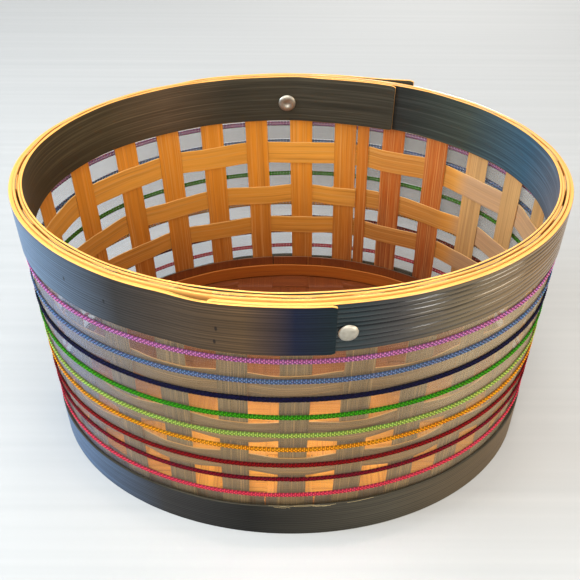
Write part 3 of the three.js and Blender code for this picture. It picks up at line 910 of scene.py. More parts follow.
class GeometryTree:
    """A Geometry Nodes tree with named inputs."""

    def __init__(self, name: str, inputs: Inputs) -> None:
        """Makes the tree and its inputs.

        Args:
            name: the tree's name.
            inputs: each input's name and its default, or the type of its socket.
        """
        self.tree = bpy.data.node_groups.new(name, "GeometryNodeTree")
        self.book = GeometryBook(self.tree)
        for label, default in inputs.items():
            self._add_input(label, default)
        self.tree.interface.new_socket("Geometry", in_out="OUTPUT", socket_type="NodeSocketGeometry")
        entry = self.tree.nodes.new("NodeGroupInput")
        self.exit = self.tree.nodes.new("NodeGroupOutput")
        self.inputs = {label: Value(self.book, entry.outputs[label]) for label in inputs}

    def _add_input(self, label: str, default: object) -> None:
        """Adds one input of the kind that its default has."""
        if isinstance(default, str):
            self.tree.interface.new_socket(label, in_out="INPUT", socket_type=default)
            return
        kind = "NodeSocketInt" if isinstance(default, int) else "NodeSocketFloat"
        socket = self.tree.interface.new_socket(label, in_out="INPUT", socket_type=kind)
        socket.default_value = default

    def finish(self, geometry: Value, material: bool = True) -> None:
        """Ends the tree with its instances realized and its material set."""
        if material:
            real = self.book.value("GeometryNodeRealizeInstances", None, {0: geometry})
            inputs = {"Geometry": real, "Material": self.inputs["Material"]}
            geometry = self.book.value("GeometryNodeSetMaterial", None, inputs)
        self.book.feed(self.exit, {"Geometry": geometry})

    def grow(self, name: str, sizes: Inputs) -> bpy.types.Object:
        """Runs the tree and keeps its result as a plain mesh.

        Args:
            name: the piece's name.
            sizes: values of the tree's inputs, by name.

        Returns:
            The new object, at the origin.
        """
        piece = bpy.data.objects.new(name, bpy.data.meshes.new(name + "_seed"))
        bpy.context.scene.collection.objects.link(piece)
        modifier = piece.modifiers.new(name, "NODES")
        modifier.node_group = self.tree
        for socket in self.tree.interface.items_tree:
            if socket.in_out == "INPUT" and socket.name in sizes:
                modifier[socket.identifier] = sizes[socket.name]
        graph = bpy.context.evaluated_depsgraph_get()
        shaped = piece.evaluated_get(graph)
        mesh = bpy.data.meshes.new_from_object(shaped, preserve_all_data_layers=True, depsgraph=graph)
        seed = piece.data
        bpy.data.objects.remove(piece)
        bpy.data.meshes.remove(seed)
        mesh.name = name
        return add_object(name, mesh)


class WallTrees:
    """Geometry Nodes that lay things out flat and bend them round the wall.

    Flat places have x as the distance round the wall, y as the distance outwards and z as the height.
    """

    OVAL_STEPS = 720
    STAKE_GRID = (9, 3, 48)
    STRANDS = 4
    STRAND_SIDES = 5
    THREAD_SIDES = 3
    LEVEL_STEPS = 181
    FIBRE_STEPS = 9
    FIBRE_SIDES = 4
    FIBRE_DRAWS = (0.13, 7.31, 19.7, 31.9)
    # How much thinner a stake is at its edges, and how suddenly
    CAMBER = 0.55
    CAMBER_POWER = 6.0
    # Pace of a stake's wander along it, across it and from one stake to the next
    STAKE_PACE = (28.0, 45.0, 9.0)
    # Share of that wander along the wall and outwards
    STAKE_DRIFT = (2.0, 0.8)
    CORD_PACE = 18.0
    STRAND_STEEPNESS = 1.3
    # A fibre's rise, tilt and bow outwards, and the least share of its length
    FIBRE_RISE = 1.2 * MM
    FIBRE_TILT = 2 * MM
    FIBRE_BOW = 0.5 * MM
    FIBRE_LEAST = 0.35

    def __init__(self, wall: Wall) -> None:
        """Builds the shared bend and the trees that use it."""
        self.wall = wall
        self.bend = self._bend_tree()
        self.stake = self._stake_tree()
        self.cord = self._cord_tree()
        self.threads = self._thread_tree()
        self.fibres = self._fibre_tree()

    def _bend_tree(self) -> bpy.types.NodeTree:
        """Bends flat geometry round the wall."""
        wall = self.wall
        sizes = {
            "Geometry": "NodeSocketGeometry", "Half Width": wall.half_width, "Half Depth": wall.half_depth,
            "Slope": wall.slope, "Rim Height": wall.rim_height,
        }
        made = GeometryTree("bend_round_the_wall", sizes)
        book, inputs = made.book, made.inputs
        ring = {"Resolution": self.OVAL_STEPS, "Radius": 1.0}
        circle = book.value("GeometryNodeCurvePrimitiveCircle", None, ring)
        scale = book.combine(inputs["Half Depth"], inputs["Half Width"], 1.0)
        turned = {"Geometry": circle, "Rotation": (0.0, 0.0, -math.pi / 2), "Scale": scale}
        oval = book.value("GeometryNodeTransform", None, turned)
        girth = book.value("GeometryNodeCurveLength", None, {0: oval})
        x, y, z = book.position()
        reached = {"Curves": oval, "Length": book.math("WRAP", x, girth, 0.0)}
        sample = book.node("GeometryNodeSampleCurve", {"mode": "LENGTH"}, reached)
        along = Value(book, sample.outputs["Tangent"])
        outward = book.vector("NORMALIZE", book.vector("CROSS_PRODUCT", along, (0.0, 0.0, 1.0)))
        reach = y - inputs["Slope"] * (inputs["Rim Height"] - z)
        base = book.vector("ADD", Value(book, sample.outputs["Position"]), book.combine(0.0, 0.0, z))
        place = book.vector("ADD", base, book.scaled(outward, reach))
        made.finish(book.moved(inputs["Geometry"], place), material=False)
        return made.tree

    def _bent(self, book: GeometryBook, geometry: Value) -> Value:
        """Bends geometry in another tree."""
        return book.value("GeometryNodeGroup", {"node_tree": self.bend}, {"Geometry": geometry})

    def _stake_tree(self) -> GeometryTree:
        """An upright splint: a cambered slab with a slight lean and wander, bent onto the wall."""
        sizes = {
            "Place": 0.0, "Width": 14 * MM, "Thickness": 0.9 * MM, "Foot": 1 * MM, "Top": 161 * MM,
            "Lean": 0.02, "Wander": 0.35 * MM, "Seed": 0.0, "Material": "NodeSocketMaterial",
        }
        made = GeometryTree("stake", sizes)
        book, inputs = made.book, made.inputs
        rise = inputs["Top"] - inputs["Foot"]
        slab = book.slab(book.combine(inputs["Width"], inputs["Thickness"], rise), self.STAKE_GRID)
        x, y, z = book.position()
        slab = book.skinned(slab, book.clamp(y / (inputs["Thickness"] * 0.5), -1.0, 1.0))
        slab = book.grained(slab, z + inputs["Seed"], x)
        edge = abs(x) / (inputs["Width"] * 0.5)
        camber = 1 - self.CAMBER * edge ** self.CAMBER_POWER
        along, across, step = self.STAKE_PACE
        drift = book.wander(z * along + inputs["Seed"] * step, x * across) * inputs["Wander"]
        sideways, outward = self.STAKE_DRIFT
        place = book.combine(
            inputs["Place"] + x + inputs["Lean"] * z + drift * sideways,
            y * camber + drift * outward,
            z + inputs["Foot"] + rise * 0.5,
        )
        made.finish(self._bent(book, book.moved(slab, place)))
        return made

    def _cord_tree(self) -> GeometryTree:
        """A flat braid of four strands round the wall, each passing over and under the others."""
        sizes = {
            "Girth": self.wall.girth(), "Periods": 96, "Steps": 1537, "Offset": 3.3 * MM, "Height": 0.1,
            "Swing": 1.18 * MM, "Depth": 0.26 * MM, "Strand": 0.37 * MM, "Slant": 0.0, "Wander": 0.6 * MM,
            "Seed": 0.0, "Material": "NodeSocketMaterial",
        }
        made = GeometryTree("braided_cord", sizes)
        book, inputs = made.book, made.inputs
        line = book.line((0.0, 0.0, 0.0), book.combine(inputs["Girth"], 0.0, 0.0), inputs["Steps"])
        strand = book.copies(line, self.STRANDS)
        x, _, _ = book.position()
        phase = FULL_TURN * (x / inputs["Girth"] * inputs["Periods"] + book.number() / self.STRANDS)
        round_the_wall = x / inputs["Girth"] * FULL_TURN
        height = (
            inputs["Height"]
            + inputs["Swing"] * phase.math("SINE")
            + inputs["Slant"] * round_the_wall.math("SINE")
            + book.wander(x * self.CORD_PACE, inputs["Seed"]) * inputs["Wander"]
        )
        swap = (phase * self.STRANDS).math("COSINE") * phase.math("COSINE")
        over = book.clamp(swap * -self.STRAND_STEEPNESS, -1.0, 1.0)
        strand = book.skinned(strand, over)
        braid = book.moved(strand, book.combine(x, inputs["Offset"] + inputs["Depth"] * over, height))
        made.finish(self._bent(book, book.tube(braid, inputs["Strand"], self.STRAND_SIDES)))
        return made

    def _thread_tree(self) -> GeometryTree:
        """The net's upright threads and its level ones."""
        sizes = {
            "Girth": self.wall.girth(), "Low": 0.02, "High": 0.14, "Offset": 2.3 * MM, "Uprights": 900,
            "Levels": 100, "Thread": 0.07 * MM, "Material": "NodeSocketMaterial",
        }
        made = GeometryTree("net_threads", sizes)
        book, inputs = made.book, made.inputs
        low, high, offset, girth = (inputs[label] for label in ("Low", "High", "Offset", "Girth"))
        start = book.combine(0.0, offset, low)
        upright = book.line(start, book.combine(0.0, offset, high))
        uprights = book.copies(upright, inputs["Uprights"], book.combine(girth, 0.0, 0.0))
        level = book.line(start, book.combine(girth, offset, low), self.LEVEL_STEPS)
        levels = book.copies(level, inputs["Levels"], book.combine(0.0, 0.0, high - low))
        threads = book.tube(book.join(uprights, levels), inputs["Thread"], self.THREAD_SIDES)
        made.finish(self._bent(book, threads))
        return made

    def _fibre_tree(self) -> GeometryTree:
        """A few loose fibres lying along the wall."""
        sizes = {
            "Place": 0.0, "Spread": 0.05, "Length": 14 * MM, "Offset": 4.2 * MM, "Height": 0.02, "Count": 9,
            "Radius": 0.07 * MM, "Seed": 1.0, "Material": "NodeSocketMaterial",
        }
        made = GeometryTree("loose_fibres", sizes)
        book, inputs = made.book, made.inputs
        end = book.combine(inputs["Length"], 0.0, 0.0)
        fibres = book.copies(book.line((0.0, 0.0, 0.0), end, self.FIBRE_STEPS), inputs["Count"])
        x, _, _ = book.position()
        number = book.number() + inputs["Seed"]
        aside, above, bow, tilt = (
            book.value("ShaderNodeTexWhiteNoise", {"noise_dimensions": "1D"}, {"W": number + draw})
            for draw in self.FIBRE_DRAWS
        )
        share = x / inputs["Length"]
        curl = (share * math.pi).math("SINE") * (bow - 0.5)
        least = self.FIBRE_LEAST
        lift = (above - 0.5) * self.FIBRE_RISE + ((tilt - 0.5) * share + curl) * self.FIBRE_TILT
        place = book.combine(
            inputs["Place"] + inputs["Spread"] * (aside - 0.5) + x * (least + (1 - least) * tilt),
            inputs["Offset"] + curl * self.FIBRE_BOW,
            inputs["Height"] + lift,
        )
        laid = book.moved(fibres, place)
        made.finish(self._bent(book, book.tube(laid, inputs["Radius"], self.FIBRE_SIDES)))
        return made


@dataclass
class StakeRow:
    """The upright splints."""

    wall: Wall
    trees: WallTrees
    count: int = 26
    lean: float = 3.3 / 161
    foot: float = 1 * MM
    thickness: float = 0.9 * MM
    width: float = 14 * MM
    narrow_width: float = 7.2 * MM
    seed_step: float = 0.731

    def build(self, material: bpy.types.Material) -> None:
        """Builds every stake.

        Args:
            material: the splints' finish.
        """
        for number, node in enumerate(self._nodes(), 1):
            self._stake(node, self.width, number, material)
        self._stake("narrow_stake", self.narrow_width, self.count + 1, material)

    def _nodes(self) -> list[str]:
        """The regular stakes' nodes."""
        return [f"stake_{number:02d}" for number in range(1, self.count + 1)]

    def turns(self) -> list[float]:
        """Each regular stake's turn round the oval."""
        return [self.wall.turn_of(node) for node in self._nodes()]

    def _stake(self, node: str, width: float, seed: int, material: bpy.types.Material) -> None:
        """Builds one stake in its node's place."""
        sizes = {
            "Place": float(self.wall.distance(self.wall.turn_of(node))), "Width": width,
            "Thickness": self.thickness, "Foot": self.foot, "Top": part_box(node)[1].z, "Lean": self.lean,
            "Seed": seed * self.seed_step, "Material": material,
        }
        settle(self.trees.stake.grow(node + "_splint", sizes), "stake_splint", node)


@dataclass(frozen=True)
class WeaverRow:
    """One woven hoop's row and the drift of its height round the wall."""

    node: str
    row: int
    slot: str
    slant: float
    seed: int
    thickness: float = 0.8 * MM
    pair: str = ""

    @property
    def woven(self) -> bool:
        """Whether the hoop weaves in and out, and isn't one of a pair on either side of the stakes."""
        return not self.pair


@dataclass
class Weavers:
    """The splints woven in and out of the stakes."""

    wall: Wall
    stakes: StakeRow
    lap_stake: int = 12
    stake_face: float = 0.48 * MM
    steps_between: int = 9
    flat_share: float = 0.72
    end_reach: float = 3 * MM
    low_sway: float = 0.35 * MM
    high_sway: float = 0.25 * MM
    high_seed: int = 40
    rows: tuple[WeaverRow, ...] = (
        WeaverRow("rim_weaver", 0, "rim_core_splint", 0.0, 11, 1.3 * MM, "rim_pair_splint"),
        WeaverRow("upper_weaver", 1, "weaver_splint", 0.8 * MM, 12),
        WeaverRow("middle_weaver", 2, "weaver_splint", 1.0 * MM, 13),
        WeaverRow("lower_weaver", 3, "weaver_splint", 1.4 * MM, 14),
    )

    def build(self, materials: Materials) -> None:
        """Builds the woven hoops.

        Args:
            materials: finishes by slot.
        """
        for row in self.rows:
            material = materials[row.slot]
            settle(self._weaver(row, Side.OUTSIDE).mesh(row.node + "_splint", material), row.slot, row.node)
            if row.pair:
                settle(self._weaver(row, Side.INSIDE).mesh(row.pair, material), row.slot)

    @staticmethod
    def _side(stake: int, row: int) -> Side:
        """The side on which a row passes a stake."""
        return Side.INSIDE if (stake + row) % 2 == 0 else Side.OUTSIDE

    def _crossings(self, row: int) -> list[tuple[float, float, Side]]:
        """Each crossing's distance round the wall, its half width and its side, from the lap onwards."""
        turns = self.stakes.turns()
        girth = self.wall.girth()
        first = float(self.wall.distance(turns[self.lap_stake]))
        half = self.stakes.width / 2
        crossings = []
        for step in range(self.stakes.count):
            stake = (self.lap_stake + step) % self.stakes.count
            place = float(self.wall.distance(turns[stake]))
            crossings.append((place if place >= first else place + girth, half, self._side(stake, row)))
        narrow = float(self.wall.distance(self.wall.turn_of("narrow_stake"))) + girth
        crossings.append((narrow, self.stakes.narrow_width / 2, Side.OUTSIDE))
        if self._side(self.lap_stake, row) is Side.INSIDE:
            crossings.append((first + girth, half, Side.OUTSIDE))
        return crossings

    def _weaver(self, row: WeaverRow, side: Side) -> Strip:
        """One hoop, or one of a pair on its side of the stakes."""
        swing = side.value * (self.stake_face + row.thickness / 2)
        if row.woven:
            turns, offset = self._woven_path(row.row, swing)
        else:
            turns = np.linspace(0, FULL_TURN, self.steps_between * self.stakes.count, endpoint=False)
            offset = np.full_like(turns, swing)
        low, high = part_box(row.node)
        drift = row.slant * np.sin(turns) + sway(turns, self.low_sway, row.seed)
        wander = sway(turns, self.high_sway, row.seed + self.high_seed) * row.woven
        half = row.thickness / 2
        section = Section(high.z - low.z, rounding=0.25 * MM, steps=7)
        return Strip(
            self.wall, turns, offset - half, offset + half, low.z + drift, high.z + drift + wander,
            section, closed=not row.woven,
        )

    def _woven_path(self, row: int, swing: float) -> tuple[np.ndarray, np.ndarray]:
        """Turns along a woven hoop and its distance outwards at each."""
        places: list[float] = []
        offsets: list[float] = []
        for place, half, side in self._crossings(row):
            for end in (-self.flat_share, 0.0, self.flat_share):
                places.append(place + end * half)
                offsets.append(side.value * swing)
        first, last = places[0] - self.end_reach, places[-1] + self.end_reach
        dense = np.linspace(first, last, self.steps_between * self.stakes.count)
        return self.wall.turn_at(dense), self._smooth(dense, np.array(places), np.array(offsets))

    @staticmethod
    def _smooth(dense: np.ndarray, places: np.ndarray, offsets: np.ndarray) -> np.ndarray:
        """Passes from one crossing to the next with an easy bend."""
        at = np.clip(np.searchsorted(places, dense) - 1, 0, len(places) - 2)
        return offsets[at] + (offsets[at + 1] - offsets[at]) * ramp(dense, places[at], places[at + 1])


@dataclass
class RimBands:
    """The inner rim band and the two outer ones that lap at the front and the back."""

    wall: Wall
    near: float = 1.9 * MM
    face: float = 4.04 * MM
    lap_near: float = 2.19 * MM
    lap_far: float = 1.45 * MM
    inner_lap: float = 17.6
    inner_near: float = -1.85 * MM
    inner_face: float = -2.85 * MM
    clip: float = 0.9 * MM
    clip_run: float = 1.2
    clip_steps: int = 5
    loose_run: float = 19.0
    loose_out: float = 2.5 * MM
    loose_up: float = 2.0 * MM
    low_sway: float = 0.3 * MM
    high_sway: float = 0.2 * MM
    inner_sway: float = 0.25 * MM

    def build(self, materials: Materials) -> None:
        """Builds the three bands.

        Args:
            materials: finishes by slot.
        """
        for node, top_node, slot, maker in (
            ("rim_band_left", "rim_band_right", "left_band_stain", self._left),
            ("rim_band_right", "rim_band_right", "right_band_stain", self._right),
            ("rim_band_inner", "rim_band_inner", "inner_band_stain", self._inner),
        ):
            strip = maker(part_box(node)[0].z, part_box(top_node)[1].z)
            settle(strip.mesh(node + "_splint", materials[slot]), slot, node)

    def _stations(self, start: float, end: float) -> np.ndarray:
        """Angles from one end to the other, closer together at the ends."""
        middle = np.arange(start + self.clip_run, end - self.clip_run, BAND_STEP)
        ends = np.linspace(0, self.clip_run, self.clip_steps)
        return np.concatenate([start + ends[:-1], middle, end - ends[-2::-1]])

    def _edges(
        self, angles: np.ndarray, low: Numbers, high: Numbers, high_sway: float, seed: int
    ) -> tuple[np.ndarray, np.ndarray]:
        """A band's lower and upper edge, wandering a little and drawn in at its rounded corners."""
        turns = np.radians(angles)
        to_end = np.minimum(angles - angles[0], angles[-1] - angles) / self.clip_run
        clip = self.clip * np.clip(1 - to_end, 0, 1) ** 2
        return low + clip + sway(turns, self.low_sway, seed), high - clip + sway(turns, high_sway, seed + 1)

    def _left(self, low: float, high: float) -> Strip:
        """The left band, raised onto the right one at both laps, with a loose end at the back."""
        angles = self._stations(*LEFT_ENDS)
        front = RIGHT_ENDS[0] - LAP_MARGIN
        back = RIGHT_ENDS[1] - 360 + LAP_MARGIN
        lift = np.maximum(ramp(angles, front - LAP_RUN, front), 1 - ramp(angles, back, back + LAP_RUN))
        spring = np.clip(1 - (angles - LEFT_ENDS[0]) / self.loose_run, 0, 1) ** 2
        near = self.near + self.lap_near * lift + self.loose_out * spring
        far = self.face + self.lap_far * lift + self.loose_out * spring
        up = self.loose_up * spring
        edges = self._edges(angles, low + up, high + up, self.high_sway, seed=3)
        section = Section(high - low, rounding=0.45 * MM, steps=77, ribs=19, rib_depth=0.1 * MM, seed=5)
        return Strip(self.wall, np.radians(angles), near, far, *edges, section)

    def _right(self, low: float, high: float) -> Strip:
        """The right band, with raised ribs along its face."""
        angles = self._stations(*RIGHT_ENDS)
        edges = self._edges(angles, low, high, self.high_sway, seed=6)
        section = Section(high - low, rounding=0.45 * MM, steps=101, ribs=10, rib_depth=0.6 * MM, seed=8)
        return Strip(self.wall, np.radians(angles), self.near, self.face, *edges, section)

    def _inner(self, low: float, high: float) -> Strip:
        """The inner band, whose first end lies over its last."""
        start = INNER_ENDS[0]
        angles = self._stations(start, start + 360 + self.inner_lap)
        lap_end = start + self.inner_lap + LAP_MARGIN
        lift = self.lap_far * (1 - ramp(angles, lap_end, lap_end + LAP_RUN))
        edges = self._edges(angles, low, high, self.inner_sway, seed=9)
        section = Section(high - low, rounding=0.4 * MM, steps=15)
        return Strip(
            self.wall, np.radians(angles), self.inner_face - lift, self.inner_near - lift, *edges, section
        )


@dataclass
class FootRing:
    """The stained foot band outside, its loose fibres, and the natural hoop inside."""

    wall: Wall
    near: float = 2.75 * MM
    face: float = 4.04 * MM
    lap_step: float = 1.4 * MM
    band_lap: float = 14.0
    band_slant: float = 2.6 * MM
    band_sway: float = 0.4 * MM
    hoop_near: float = -1.9 * MM
    hoop_face: float = -3.1 * MM
    hoop_drop: float = 2.6 * MM
    hoop_start: float = -8.0
    hoop_lap: float = 16.0
    hoop_sway: float = 0.3 * MM
    fibre_place: float = 6 * MM
    fibre_rise: float = 0.4 * MM
    fibre_gap: float = 0.15 * MM
    fibre_colour: Colour = screen(206, 184, 138)

    def build(self, materials: Materials, trees: WallTrees) -> None:
        """Builds the band, its fibres and the hoop.

        Args:
            materials: finishes by slot.
            trees: the trees that bend things round the wall.
        """
        low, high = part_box("foot_band")
        turns, lift = self._lapped(FOOT_ENDS[0], self.band_lap)
        top = high.z + self.band_slant * np.sin(turns) + sway(turns, self.band_sway, 21)
        section = Section(high.z - low.z, rounding=0.4 * MM, steps=61, ribs=15, rib_depth=0.12 * MM, seed=22)
        band = Strip(self.wall, turns, self.near + lift, self.face + lift, low.z, top, section)
        settle(band.mesh("foot_band_splint", materials["foot_band_stain"]), "foot_band_stain", "foot_band")
        sizes = {
            "Place": self.fibre_place, "Height": high.z + self.fibre_rise,
            "Offset": self.face + self.fibre_gap,
            "Material": YarnFinish("loose_fibre", self.fibre_colour, shade=0.7).material(),
        }
        settle(trees.fibres.grow("foot_fibres", sizes), "foot_band_stain")

        low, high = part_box("foot_hoop")
        level = high.z - self.hoop_drop
        turns, lift = self._lapped(self.hoop_start, self.hoop_lap)
        top = level + sway(turns, self.hoop_sway, 23)
        section = Section(level - low.z, steps=11)
        hoop = Strip(self.wall, turns, self.hoop_face - lift, self.hoop_near - lift, low.z, top, section)
        settle(hoop.mesh("foot_hoop_splint", materials["foot_hoop_splint"]), "foot_hoop_splint", "foot_hoop")

    def _lapped(self, start: float, lap: float) -> tuple[np.ndarray, np.ndarray]:
        """Turns once round and over the lap, and how far each is raised onto the lap."""
        angles = np.arange(start, start + 360 + lap, BAND_STEP)
        lap_end = start + lap + LAP_MARGIN
        return np.radians(angles), self.lap_step * (1 - ramp(angles, lap_end, lap_end + LAP_RUN))


class Run(Enum):
    """The way that floor splints run."""

    DEEP = "deep"
    ACROSS = "across"


@dataclass
class WovenFloor:
    """Two sets of wide splints woven over and under each other, their ends turned up inside the wall."""

    wall: Wall
    level: float = 9 * MM
    pitch: float = 25 * MM
    width: float = 24.2 * MM
    thickness: float = 0.9 * MM
    weave: float = 0.5 * MM
    upturn: float = 17 * MM
    inset: float = 1.15 * MM
    splints_across: int = 11
    splints_deep: int = 9
    grid: tuple[int, int, int] = (6, 281, 2)
    flat_end: float = 7 * MM
    weave_steepness: float = 5.0
    bend_steepness: float = 12.0
    edge_share: float = 0.995
    grain_length: float = 0.1
    grain_step: float = 0.37

    def build(self, material: bpy.types.Material) -> None:
        """Builds both sets of splints.

        Args:
            material: the splints' finish.
        """
        tree = self._tree()
        draw_in = self.inset + self.wall.slope * (self.wall.rim_height - self.level)
        half_width = self.wall.half_width - draw_in
        half_depth = self.wall.half_depth - draw_in
        for run, count, span, reach, turn, nodes in (
            (Run.DEEP, self.splints_across, half_depth, half_width, 0.0, ("woven_floor",)),
            (Run.ACROSS, self.splints_deep, half_width, half_depth, math.pi / 2, ()),
        ):
            sizes = self._sizes() | {
                "Count": count, "Span": span, "Reach": reach, "Turn": turn, "Material": material,
            }
            settle(tree.grow(f"floor_splints_{run.value}", sizes), "floor_splint", *nodes)

    def _sizes(self) -> Inputs:
        """The sizes that both sets share."""
        return {
            "Pitch": self.pitch, "Width": self.width, "Thickness": self.thickness, "Level": self.level,
            "Weave": self.weave, "Upturn": self.upturn,
        }

    def _tree(self) -> GeometryTree:
        """Parallel splints across the oval floor, laid out with the wall at 1 and the ends at 2."""
        sizes = self._sizes() | {
            "Count": 11, "Span": 0.1, "Reach": 0.13, "Turn": 0.0, "Material": "NodeSocketMaterial",
        }
        made = GeometryTree("floor_splints", sizes)
        book, inputs = made.book, made.inputs
        slab = book.slab(book.combine(inputs["Width"], 4.0, inputs["Thickness"]), self.grid)
        splints = book.copies(slab, inputs["Count"])
        number = book.number()
        x, along, t = book.position()
        splints = book.skinned(splints, t / (inputs["Thickness"] * -0.5))
        splints = book.grained(splints, along * self.grain_length + number * self.grain_step, x)

        middle = (inputs["Count"] - 1.0) * 0.5
        edge = inputs["Reach"] * self.edge_share
        side = book.clamp(x + (number - middle) * inputs["Pitch"], 0.0 - edge, edge)
        limit = inputs["Span"] * (1 - (side / inputs["Reach"]) ** 2.0).math("SQRT")
        reach = book.clamp(along, -1.0, 1.0) * limit
        sign = (number * math.pi).math("COSINE")
        swing = (reach * math.pi / inputs["Pitch"]).math("COSINE")
        wave = book.clamp(self.weave_steepness * swing, -1.0, 1.0)
        fade = book.clamp((limit - abs(reach)) / self.flat_end)
        past = abs(along) - 1.0
        bend = book.clamp(past * self.bend_steepness) * (math.pi / 2)
        rise = book.clamp(past) * inputs["Upturn"]
        place = book.combine(
            side,
            reach - along.math("SIGN") * t * bend.math("SINE"),
            inputs["Level"] + inputs["Weave"] * sign * wave * fade + t * bend.math("COSINE") + rise,
        )
        turned = {"Geometry": book.moved(splints, place), "Rotation": book.combine(0.0, 0.0, inputs["Turn"])}
        made.finish(book.value("GeometryNodeTransform", None, turned))
        return made


@dataclass(frozen=True)
class Cord:
    """One cord: its node's colour word, its yarn, and its drift and wander round the wall."""

    word: str
    colour: Colour
    slant: float
    wander: float = 0.9 * MM
    strand: float = 0.37 * MM

    @property
    def node(self) -> str:
        """The cord's node."""
        return "cord_" + self.word

    def height(self) -> float:
        """The middle height of the cord's node."""
        low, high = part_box(self.node)
        return (low.z + high.z) / 2


@dataclass
class NetWrap:
    """The sheer net round the wall with its threads and the coloured cords on it."""

    wall: Wall
    trees: WallTrees
    ground: float = 2.15 * MM
    ground_thickness: float = 0.12 * MM
    ground_steps: int = 360
    thread_offset: float = 2.33 * MM
    thread: float = 0.022 * MM
    uprights: int = 960
    levels: int = 100
    cord_offset: float = 3.1 * MM
    cord_view: float = 0.75 * MM
    cord_glow: float = 0.7
    seed_step: float = 2.3
    cords: tuple[Cord, ...] = (
        Cord("purple", screen(202, 124, 184), 0.3 * MM),
        Cord("blue", screen(104, 130, 172), 1.5 * MM),
        Cord("navy", screen(8, 6, 52), 2.0 * MM, strand=0.46 * MM),
        Cord("green", screen(58, 156, 6), 2.0 * MM, strand=0.42 * MM),
        Cord("lime", screen(174, 206, 92), 1.5 * MM, 2.6 * MM),
        Cord("orange", screen(246, 162, 18), 1.5 * MM, 1.5 * MM),
        Cord("dark_red", screen(138, 0, 4), 3.2 * MM, strand=0.44 * MM),
        Cord("maroon", screen(126, 0, 28), 2.8 * MM, strand=0.42 * MM),
        Cord("pink", screen(236, 66, 94), 3.0 * MM),
    )

    def build(self, thread: bpy.types.Material) -> None:
        """Builds the net and the cords.

        Args:
            thread: finish of the net's threads.
        """
        low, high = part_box("netting")
        girth = self.wall.girth()
        middle = (low.z + high.z) / 2
        heights = tuple((cord.height() - middle + self.cord_view, cord.slant) for cord in self.cords)
        turns = np.linspace(0, FULL_TURN, self.ground_steps, endpoint=False) + math.pi
        section = Section(high.z - low.z, rounding=0.02 * MM, steps=5)
        far = self.ground + self.ground_thickness
        strip = Strip(self.wall, turns, self.ground, far, low.z, high.z, section, closed=True)
        net = settle(strip.mesh("net_ground", NetFinish(girth, heights).material()), "netting", "netting")
        sizes = {
            "Low": low.z, "High": high.z, "Offset": self.thread_offset, "Girth": girth,
            "Uprights": self.uprights, "Levels": self.levels, "Thread": self.thread, "Material": thread,
        }
        threads = settle(self.trees.threads.grow("net_threads", sizes), "netting")
        self.wall.girth() + 2 * math.pi * self.ground
        for number, cord in enumerate(self.cords):
            self._cord(cord, number * self.seed_step)

    def _cord(self, cord: Cord, seed: float) -> None:
        """Builds one braided cord in its node's place."""
        yarn = YarnFinish(cord.node + "_yarn", cord.colour, glow=self.cord_glow).material()
        sizes = {
            "Height": cord.height(), "Offset": self.cord_offset, "Slant": cord.slant, "Wander": cord.wander,
            "Seed": seed, "Girth": self.wall.girth(), "Strand": cord.strand, "Material": yarn,
        }
        settle(self.trees.cord.grow(cord.node + "_braid", sizes), cord.node, cord.node)


